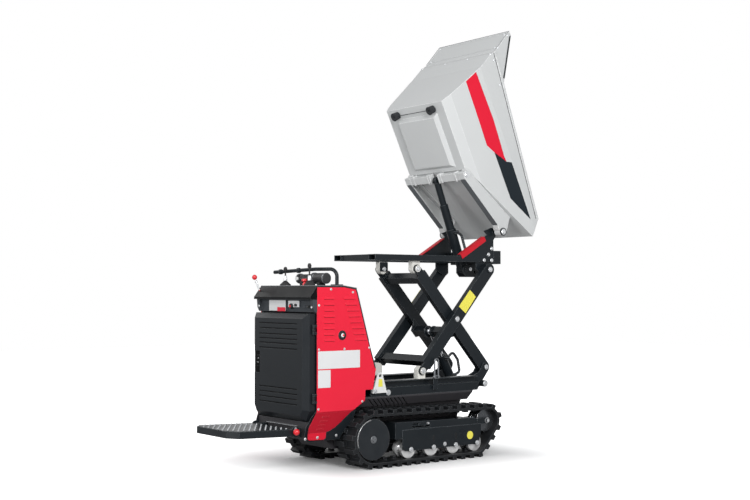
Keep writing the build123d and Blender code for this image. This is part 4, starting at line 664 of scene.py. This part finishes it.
# plated sleeve over the ball lever's stem, with its lock nut
lever_sleeve = bmesh.new()
lever_tilt = math.radians(20)
lever_foot = Vector((mid - 0.872, 0.282, 1.060))
lever_way = Vector((-math.sin(lever_tilt), 0.12, math.cos(lever_tilt))).normalized()
add_disc(lever_sleeve, lever_foot + 0.040 * lever_way, lever_way, 0.0058, 0.0054, 0.068, 20)
add_disc(lever_sleeve, lever_foot + 0.060 * lever_way, lever_way, 0.009, 0.009, 0.008, 6)
settle("lever_sleeve", lever_sleeve, bright_zinc, "chassis")

# clamp bands round the filter housing, and the pale blank disc at its left end
filter_z = 1.135
filter_bands, filter_disc = bmesh.new(), bmesh.new()
for y, radius in ((-0.222, 0.0332), (-0.118, 0.0332), (0.050, 0.0312)):
    add_disc(filter_bands, (mid - 0.728, y, filter_z), (0, 1, 0), radius, radius, 0.007, 40)
add_disc(filter_disc, (mid - 0.756, 0.044, filter_z), rear, 0.013, 0.012, 0.012, 28)
settle("filter_bands", filter_bands, dull_zinc, "chassis")
settle("filter_disc", filter_disc, white_coat, "chassis")

# bright collars over the rubber boots
collars = bmesh.new()
for y in (0.086, -0.170):
    bmesh.ops.create_cone(collars, cap_ends=True, segments=28, radius1=0.0125, radius2=0.0085, depth=0.030,
                          matrix=Matrix.Translation((mid - 0.812, y, 1.137)))
soften(collars, 0.0015)
settle("lever_collars", collars, bright_zinc, "chassis")

# Rear platform: a folded pan of black steel that hangs on two hinge brackets at the hull's rear and folds
# up. Its tread is a punched sheet whose cups are light steel, partly worn bright where the feet rub and
# partly painted glints.
dress(black_coat, "platform", "platform_brackets")
hinge_x, hinge_z = mid - 0.940, 0.244

# plain sheet on the pan, made in its own frame: from the hinge along the platform, leaning with it.
# Its outer corners are cut off along a line through corner_cut, square to corner_way.
tread_tilt = math.radians(2.0)
tread_place = Matrix(((-math.cos(tread_tilt), 0, math.sin(tread_tilt), hinge_x), (0, -1, 0, 0),
                      (math.sin(tread_tilt), 0, math.cos(tread_tilt), hinge_z), (0, 0, 0, 1)))
tread_size, tread_middle, tread_z = (0.396, 0.430), 0.2296, 0.0143
corner_cut, corner_way = (0.4276, 0.160), (0.060, 0.050)
tread = bmesh.new()
bmesh.ops.create_grid(tread, x_segments=1, y_segments=1, size=0.5)
bmesh.ops.scale(tread, vec=(*tread_size, 1.0), verts=tread.verts)
bmesh.ops.translate(tread, vec=(tread_middle, 0, tread_z), verts=tread.verts)
for side in (-1, 1):
    bmesh.ops.bisect_plane(tread, geom=tread.verts[:] + tread.edges[:] + tread.faces[:],
                           plane_co=(corner_cut[0], side * corner_cut[1], 0),
                           plane_no=(corner_way[0], side * corner_way[1], 0), clear_outer=True)
bmesh.ops.transform(tread, matrix=tread_place, verts=tread.verts)
tread_sheet = make_object("platform_tread", tread, black_coat)
tread_wall = tread_sheet.modifiers.new("wall", "SOLIDIFY")
tread_wall.thickness = 0.0014
tread_wall.offset = 0.0
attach(tread_sheet, "platform")

# staggered rows of grip cups, each a short cone with a sunk top
# light steel, partly bare worn steel and partly painted glints
worn_and_glinting_steel = surface("worn_and_glinting_steel", linear(160, 162, 165), linear(246, 246, 247), (0.3, 0.45), metal=0.35,
                     worn_metal=0.35, wear_and_highlight=0.35, radius=0.0012, grain_scale=420.0, dust=0.05, mottle=0.2,
                     mottle_scale=40.0)
cup_rows, cups_in_row, row_gap, cup_gap = 15, 11, 0.0265, 0.036
first_cup, cup_z, cup_sides, cut_margin = (0.046, -0.1855), 0.0174, 10, 0.0008
cups = bmesh.new()
for row in range(cup_rows):
    for step in range(cups_in_row):
        x = first_cup[0] + cup_gap * step + cup_gap / 2 * (row % 2)
        y = first_cup[1] + row_gap * row
        past_cut = (x - corner_cut[0]) * corner_way[0] + (abs(y) - corner_cut[1]) * corner_way[1]
        if past_cut < -cut_margin:
            made = bmesh.ops.create_cone(cups, cap_ends=True, segments=cup_sides, radius1=0.0060,
                                         radius2=0.0040, depth=0.0052,
                                         matrix=tread_place @ Matrix.Translation((x, y, cup_z)))
            cup_mid = tread_place @ Vector((x, y, cup_z))
            top = [f for f in {f for v in made["verts"] for f in v.link_faces}
                   if len(f.verts) == cup_sides and f.calc_center_median().z > cup_mid.z]
            bmesh.ops.inset_individual(cups, faces=top, thickness=0.0010, depth=0.0)
            bmesh.ops.inset_individual(cups, faces=top, thickness=0.0008, depth=-0.0032)
settle("platform_teeth", cups, worn_and_glinting_steel, "platform")

# round cheeks on the platform's hinge, each with the end of its pin
hinge_cheeks, cheek_pins = bmesh.new(), bmesh.new()
for side in (-1, 1):
    add_disc(hinge_cheeks, (hinge_x, side * 0.2145, hinge_z), (0, side, 0), 0.030, 0.030, 0.005, 36)
    add_bolt(cheek_pins, (hinge_x, side * 0.2169, hinge_z + 0.018), (0, side, 0), 0.012, 0.006, washer=1.4)
settle("hinge_cheeks", hinge_cheeks, black_coat, "platform")
settle("cheek_pins", cheek_pins, worn_and_glinting_steel, "platform")

# bright strip on the lip of the tray under the door, a painted highlight
tray_edge_highlight = bmesh.new()
lip_z = 0.2685
add_plate(tray_edge_highlight, [(mid + x, y, lip_z) for x, y in ((-0.906, -0.155), (-0.884, -0.155), (-0.884, 0.150),
                                                      (-0.906, 0.150))], (0, 0, 1), 0.003)
settle("tray_edge_highlight", tray_edge_highlight, worn_and_glinting_steel, "chassis")

# red latch knob beside the pan's hinge
latch = bmesh.new()
bmesh.ops.create_uvsphere(latch, u_segments=28, v_segments=18, radius=0.019,
                          matrix=Matrix.Translation((mid - 0.955, -0.247, 0.246)))
settle("latch_knob", latch, red_plastic, "platform")

# Scissor lift: two crossed pairs of welded box-section arms, in black powder coat. Each pair has
# one pinned end, and one end whose white nylon slider blocks run in the open rails.
dress(black_coat, "outer_arms", "inner_arms")
white_nylon = surface("white_nylon", linear(228, 227, 221), linear(200, 199, 192), (0.5, 0.62), wear_and_highlight=0.4,
                      grain_scale=380.0, grain_depth=0.0002, dust=0.15, mottle=0.06)
dress(white_nylon, "lower_sliders", "upper_sliders")

arm_length = 0.8636
arm_slope = math.radians(48.0)
front_pin = Vector((mid + 0.575, 0, 0.558))
slide_x = front_pin.x - arm_length * math.cos(arm_slope)
top_z = front_pin.z + arm_length * math.sin(arm_slope)
pin_mid = ((slide_x + front_pin.x) / 2, (front_pin.z + top_z) / 2)
# set of bolts: body, pin's place, distance of the pin's end from the middle plane
for name, body, (x, z), y in (("centre_bolts", "inner_arms", pin_mid, 0.2532),
                              ("lower_slider_bolts", "lower_sliders", (slide_x, front_pin.z), 0.2572),
                              ("upper_slider_bolts", "upper_sliders", (slide_x, top_z), 0.2072),
                              ("upper_pin_bolts", "upper_frame", (front_pin.x, top_z), 0.2572)):
    heads = bmesh.new()
    for side in (-1, 1):
        add_bolt(heads, (x, side * y, z), (0, side, 0), 0.022, 0.009, washer=1.6)
    settle(name, heads, bright_zinc, body)

# black keeper plates on the inner faces of the upper sliders
keepers, keeper_bolts = bmesh.new(), bmesh.new()
for side in (-1, 1):
    add_plate(keepers, on_side(mid - 0.032, top_z - 0.014, mid + 0.034, top_z + 0.047, side * 0.1489),
              (0, -side, 0), 0.003, corner=0.004)
    add_bolt(keeper_bolts, (mid + 0.004, side * 0.1459, top_z + 0.002), (0, -side, 0), 0.017, 0.006)
settle("slider_keepers", keepers, black_coat, "upper_sliders")
settle("keeper_bolts", keeper_bolts, bright_zinc, "upper_sliders")

# blank yellow signs on the outer arms
arm_sign = [(0.399, 1.066), (0.451, 1.021), (0.360, 0.914), (0.302, 0.959)]
arm_signs = bmesh.new()
for side in (-1, 1):
    corners = [(mid + x, side * 0.2501, z) for x, z in arm_sign]
    add_plate(arm_signs, corners, (0, side, 0), 0.0005, corner=0.003)
settle("arm_signs", arm_signs, yellow_vinyl, "outer_arms")

# Upper frame: two hollow rails on a front beam, black powder coat, with welded uprights that
# carry the skip's pivots. Red guards cover the uprights' slopes, and bolts hold the bracket.
dress(black_coat, "upper_frame", "tilt_bracket")
guard_red = surface("guard_red", linear(196, 34, 46), linear(226, 92, 100), (0.36, 0.46), wear_and_highlight=0.25,
                    radius=0.0018, grain_scale=240.0, dust=0.02, mottle=0.03, specular=0.15)
dress(guard_red, "edge_guards")

# dark plates in the front beam's open ends, which paint the shade inside them
beam_end_shade = bmesh.new()
for side in (-1, 1):
    corners = on_side(mid + 0.645, 1.239, mid + 0.708, 1.325, side * 0.2105)
    add_plate(beam_end_shade, corners, (0, side, 0), 0.005, corner=0.003)
settle("beam_end_shade", beam_end_shade, black_coat, "upper_frame")

# bolts of the uprights and of the tipping cylinder's bracket: distance aside, their places
frame_bolts = bmesh.new()
for side in (-1, 1):
    for y, spots in ((0.2141, ((0.600, 1.300), (0.628, 1.340), (0.560, 1.262), (0.628, 1.262))),
                     (0.0361, ((0.600, 1.205), (0.690, 1.190), (0.668, 1.215)))):
        for x, z in spots:
            add_bolt(frame_bolts, (mid + x, side * y, z), (0, side, 0), 0.015, 0.006)
settle("frame_bolts", frame_bolts, bright_zinc, "upper_frame")

# Hydraulic cylinders: black painted barrels and telescopic stages, and one hard-chromed rod.
# Each barrel has a wire-braided rubber hose from port to port, screwed on its fittings.
rod_chrome = surface("rod_chrome", linear(214, 216, 220), linear(240, 240, 240), (0.08, 0.16), metal=1.0,
                     wear_and_highlight=0.0, grain_scale=200.0, grain_depth=0.00003, dust=0.03, mottle=0.05,
                     stretch=(0.05, 0.05, 1.0))
# hose rubber: its rib tops take a lighter tone, painted highlights
hose_rubber_lit_ribs = surface("hose_rubber_lit_ribs", linear(20, 21, 23), linear(60, 62, 65), (0.34, 0.46), wear_and_highlight=0.2,
                      grain="bands", grain_scale=20.0, grain_depth=0.004, stretch=(0.4, 0.4, 1.0),
                      dust=0.04, mottle=0.15, second=linear(74, 79, 83))
dress(black_coat, "lift_barrel", "lift_bracket", "tilt_barrel", "tilt_stage", "tilt_plunger")
dress(rod_chrome, "lift_rod")
dress(hose_rubber_lit_ribs, "lift_hose", "tilt_hose")

# Skip: welded grey sheet with a rolled rim and a bolted spill guard. The sides carry a red sweep and a dark
# flash in vinyl, on their leaning part below the crease.
# grey sheet; its pale edge tone, reaching even shallow creases, shows wear and paints highlights along
# edges and creases
skip_grey = surface("skip_grey", linear(199, 201, 201), linear(250, 251, 251), (0.36, 0.46), wear_and_highlight=0.9,
                    radius=0.006, grain_scale=300.0, grain_depth=0.00015, dust=0.02, mottle=0.02,
                    specular=0.3, fold=0.985)
bumper_rubber = surface("bumper_rubber", linear(42, 44, 47), linear(84, 87, 90), (0.5, 0.66), wear_and_highlight=0.5,
                        grain_scale=450.0, dust=0.08, mottle=0.15, specular=0.3)
dress(skip_grey, "skip_body", "spill_guard", "skip_subframe")
dress(bumper_rubber, "skip_bumpers")

tip_axis = Vector((mid + 0.650, 0, 1.448975))
tipped = math.radians(64.4)


def on_skip(x, y, z):
    """Place on the tipped skip, in its own frame with the origin on the tipping axis."""
    return Vector((tip_axis.x + x * math.cos(tipped) + z * math.sin(tipped), y,
                   tip_axis.z - x * math.sin(tipped) + z * math.cos(tipped)))


def skip_way(x, z):
    """Direction on the tipped skip, from one in its own frame."""
    return on_skip(x, 0, z) - on_skip(0, 0, 0)


# vinyl films on the leaning sides: half width at the crease, its height, how far the sides lean out
side_y, crease_z, side_lean = 0.3502, 0.230, 0.15
red_vinyl = surface("red_vinyl", linear(216, 22, 50), linear(240, 110, 120), (0.34, 0.44), wear_and_highlight=0.1,
                    grain_scale=260.0, dust=0.02, mottle=0.02, specular=0.25)
dark_vinyl = surface("dark_vinyl", linear(24, 32, 38), linear(90, 96, 100), (0.36, 0.46), wear_and_highlight=0.1,
                     grain_scale=260.0, dust=0.02, mottle=0.04, specular=0.2)
sweep = [(-1.042, 0.189), (-1.014, 0.093), (-0.747, 0.090), (-0.575, 0.086), (-0.511, 0.124),
         (-0.418, 0.190), (-0.451, 0.186), (-0.706, 0.199)]
flash = [(-0.511, 0.124), (-0.418, 0.190), (-0.398, 0.227), (0.012, 0.224), (-0.183, 0.127)]
for name, outline, vinyl, slot_name in (("side_sweep", sweep, red_vinyl, "red_paint"),
                                        ("side_flash", flash, dark_vinyl, "black_paint")):
    film = bmesh.new()
    for side in (-1, 1):
        corners = [on_skip(x, side * (side_y - side_lean * (crease_z - z)), z) for x, z in outline]
        add_plate(film, corners, (0, side, 0), 0.0005)
    settle(name, film, vinyl, "skip")

# dark grey strips along the side members, which paint the shade in the gap between each member's two plates
channel_shade = surface("channel_shade", linear(96, 100, 103), linear(140, 143, 146), (0.5, 0.66), wear_and_highlight=0.3,
                       grain_scale=450.0, dust=0.04, mottle=0.2, mottle_scale=12.0, specular=0.2)
member_out = skip_way(0.338, -0.941)
strip_line = [(-0.440, -0.1568, 0.2462), (-0.056, -0.0188, 0.2462), (-0.056, -0.0188, 0.2938),
              (-0.440, -0.1568, 0.2938)]
channel_shade_strips = bmesh.new()
for side in (-1, 1):
    corners = [on_skip(x, side * y, z) for x, z, y in strip_line]
    add_plate(channel_shade_strips, corners, member_out, 0.0012, corner=0.012)
settle("channel_shade_strips", channel_shade_strips, channel_shade, "skip")

# folded hems round the spill guard's back, and the seam across its foot
rim_rear = Vector((-1.111, 0, 0.405))
guard_way, guard_out = Vector((-0.3915, 0, 0.9202)), skip_way(-0.9202, -0.3915)
hem_thick = 0.003


def on_guard(low, high, y1, y2, out=0.0):
    """Corners of a rectangle on the spill guard's back, by height up the guard and half width."""
    corners = []
    for along, y in ((low, y1), (low, y2), (high, y2), (high, y1)):
        at = rim_rear + guard_way * along
        corners.append(on_skip(at.x, y, at.z) + out * guard_out.normalized())
    return corners


hems = bmesh.new()
for low, high, y1, y2, thick in ((0.183, 0.1963, -0.3495, 0.3495, hem_thick),
                                 (0.012, 0.1825, 0.337, 0.3495, hem_thick),
                                 (0.012, 0.1825, -0.3495, -0.337, hem_thick),
                                 (0.030, 0.034, -0.3365, 0.3365, 0.0012)):
    add_plate(hems, on_guard(low, high, y1, y2), guard_out, thick)
settle("guard_hems", hems, skip_grey, "skip")

# dark strips that paint shade down the edges of the guard's wings, under the rim bars and along the hems'
# edges
guard_shade_lines = bmesh.new()
wing_top, wing_way, wing_in = Vector((-1.160, 0, 0.586)), Vector((0.8, 0, -0.6)), Vector((-0.6, 0, -0.8))
rim_fall = 0.10261
for side in (-1, 1):
    corners = []
    for along, inside in ((0.003, 0.001), (0.300, 0.001), (0.300, 0.012), (0.012, 0.012)):
        at = wing_top + wing_way * along + wing_in * inside
        corners.append(on_skip(at.x, side * 0.3501, at.z))
    add_plate(guard_shade_lines, corners, (0, side, 0), 0.0035)
    corners = [on_skip(x, side * 0.3501, rim_rear.z - rim_fall * (x - rim_rear.x) - drop)
               for x, drop in ((-1.104, 0.0145), (0.030, 0.0145), (0.030, 0.0188), (-1.104, 0.0188))]
    add_plate(guard_shade_lines, corners, (0, side, 0), 0.0006)
for low, high, y1, y2 in ((0.1932, 0.1961, -0.3493, 0.3493), (0.0120, 0.1932, 0.3468, 0.3493),
                          (0.0120, 0.1932, -0.3493, -0.3468)):
    add_plate(guard_shade_lines, on_guard(low, high, y1, y2, hem_thick), guard_out, 0.0006)
settle("skip_shade_lines", guard_shade_lines, bumper_rubber, "skip")

# bolts of the spill guard and the pivot ends
skip_bolts = bmesh.new()
out_rear = skip_way(-0.992, -0.127)
for y in (-0.343, -0.120, 0.101, 0.343):
    add_bolt(skip_bolts, on_skip(-1.1056, y, 0.361), out_rear, 0.011, 0.005)
for side in (-1, 1):
    for x, z in ((-1.1783, 0.562), (-1.1268, 0.441)):
        add_bolt(skip_bolts, on_skip(x, side * 0.322, z), guard_out, 0.011, 0.005)
    for x, z in ((-1.168, 0.560), (-1.120, 0.438), (-1.058, 0.372), (-0.895, 0.352)):
        add_bolt(skip_bolts, on_skip(x, side * side_y, z), (0, side, 0), 0.011, 0.005)
    add_bolt(skip_bolts, on_skip(-0.460, side * 0.2962, -0.130), (0, side, 0), 0.024, 0.008)
settle("skip_bolts", skip_bolts, bright_zinc, "skip")
tip_bolts = bmesh.new()
for side in (-1, 1):
    add_bolt(tip_bolts, (tip_axis.x, side * 0.3042, tip_axis.z), (0, side, 0), 0.024, 0.008)
settle("tip_bolts", tip_bolts, bright_zinc, "upper_frame")

# dark rod between the rubber stops, which paints the shade along the panel's top edge
panel_edge_shade_rod = bmesh.new()
middle = on_skip(-0.921, 0, -0.136)
bmesh.ops.create_cone(panel_edge_shade_rod, cap_ends=True, segments=12, radius1=0.0022, radius2=0.0022, depth=0.310,
                      matrix=Matrix.Translation(middle) @ Matrix.Rotation(math.radians(90), 4, "X"))
settle("panel_edge_shade_rod", panel_edge_shade_rod, black_coat, "skip")
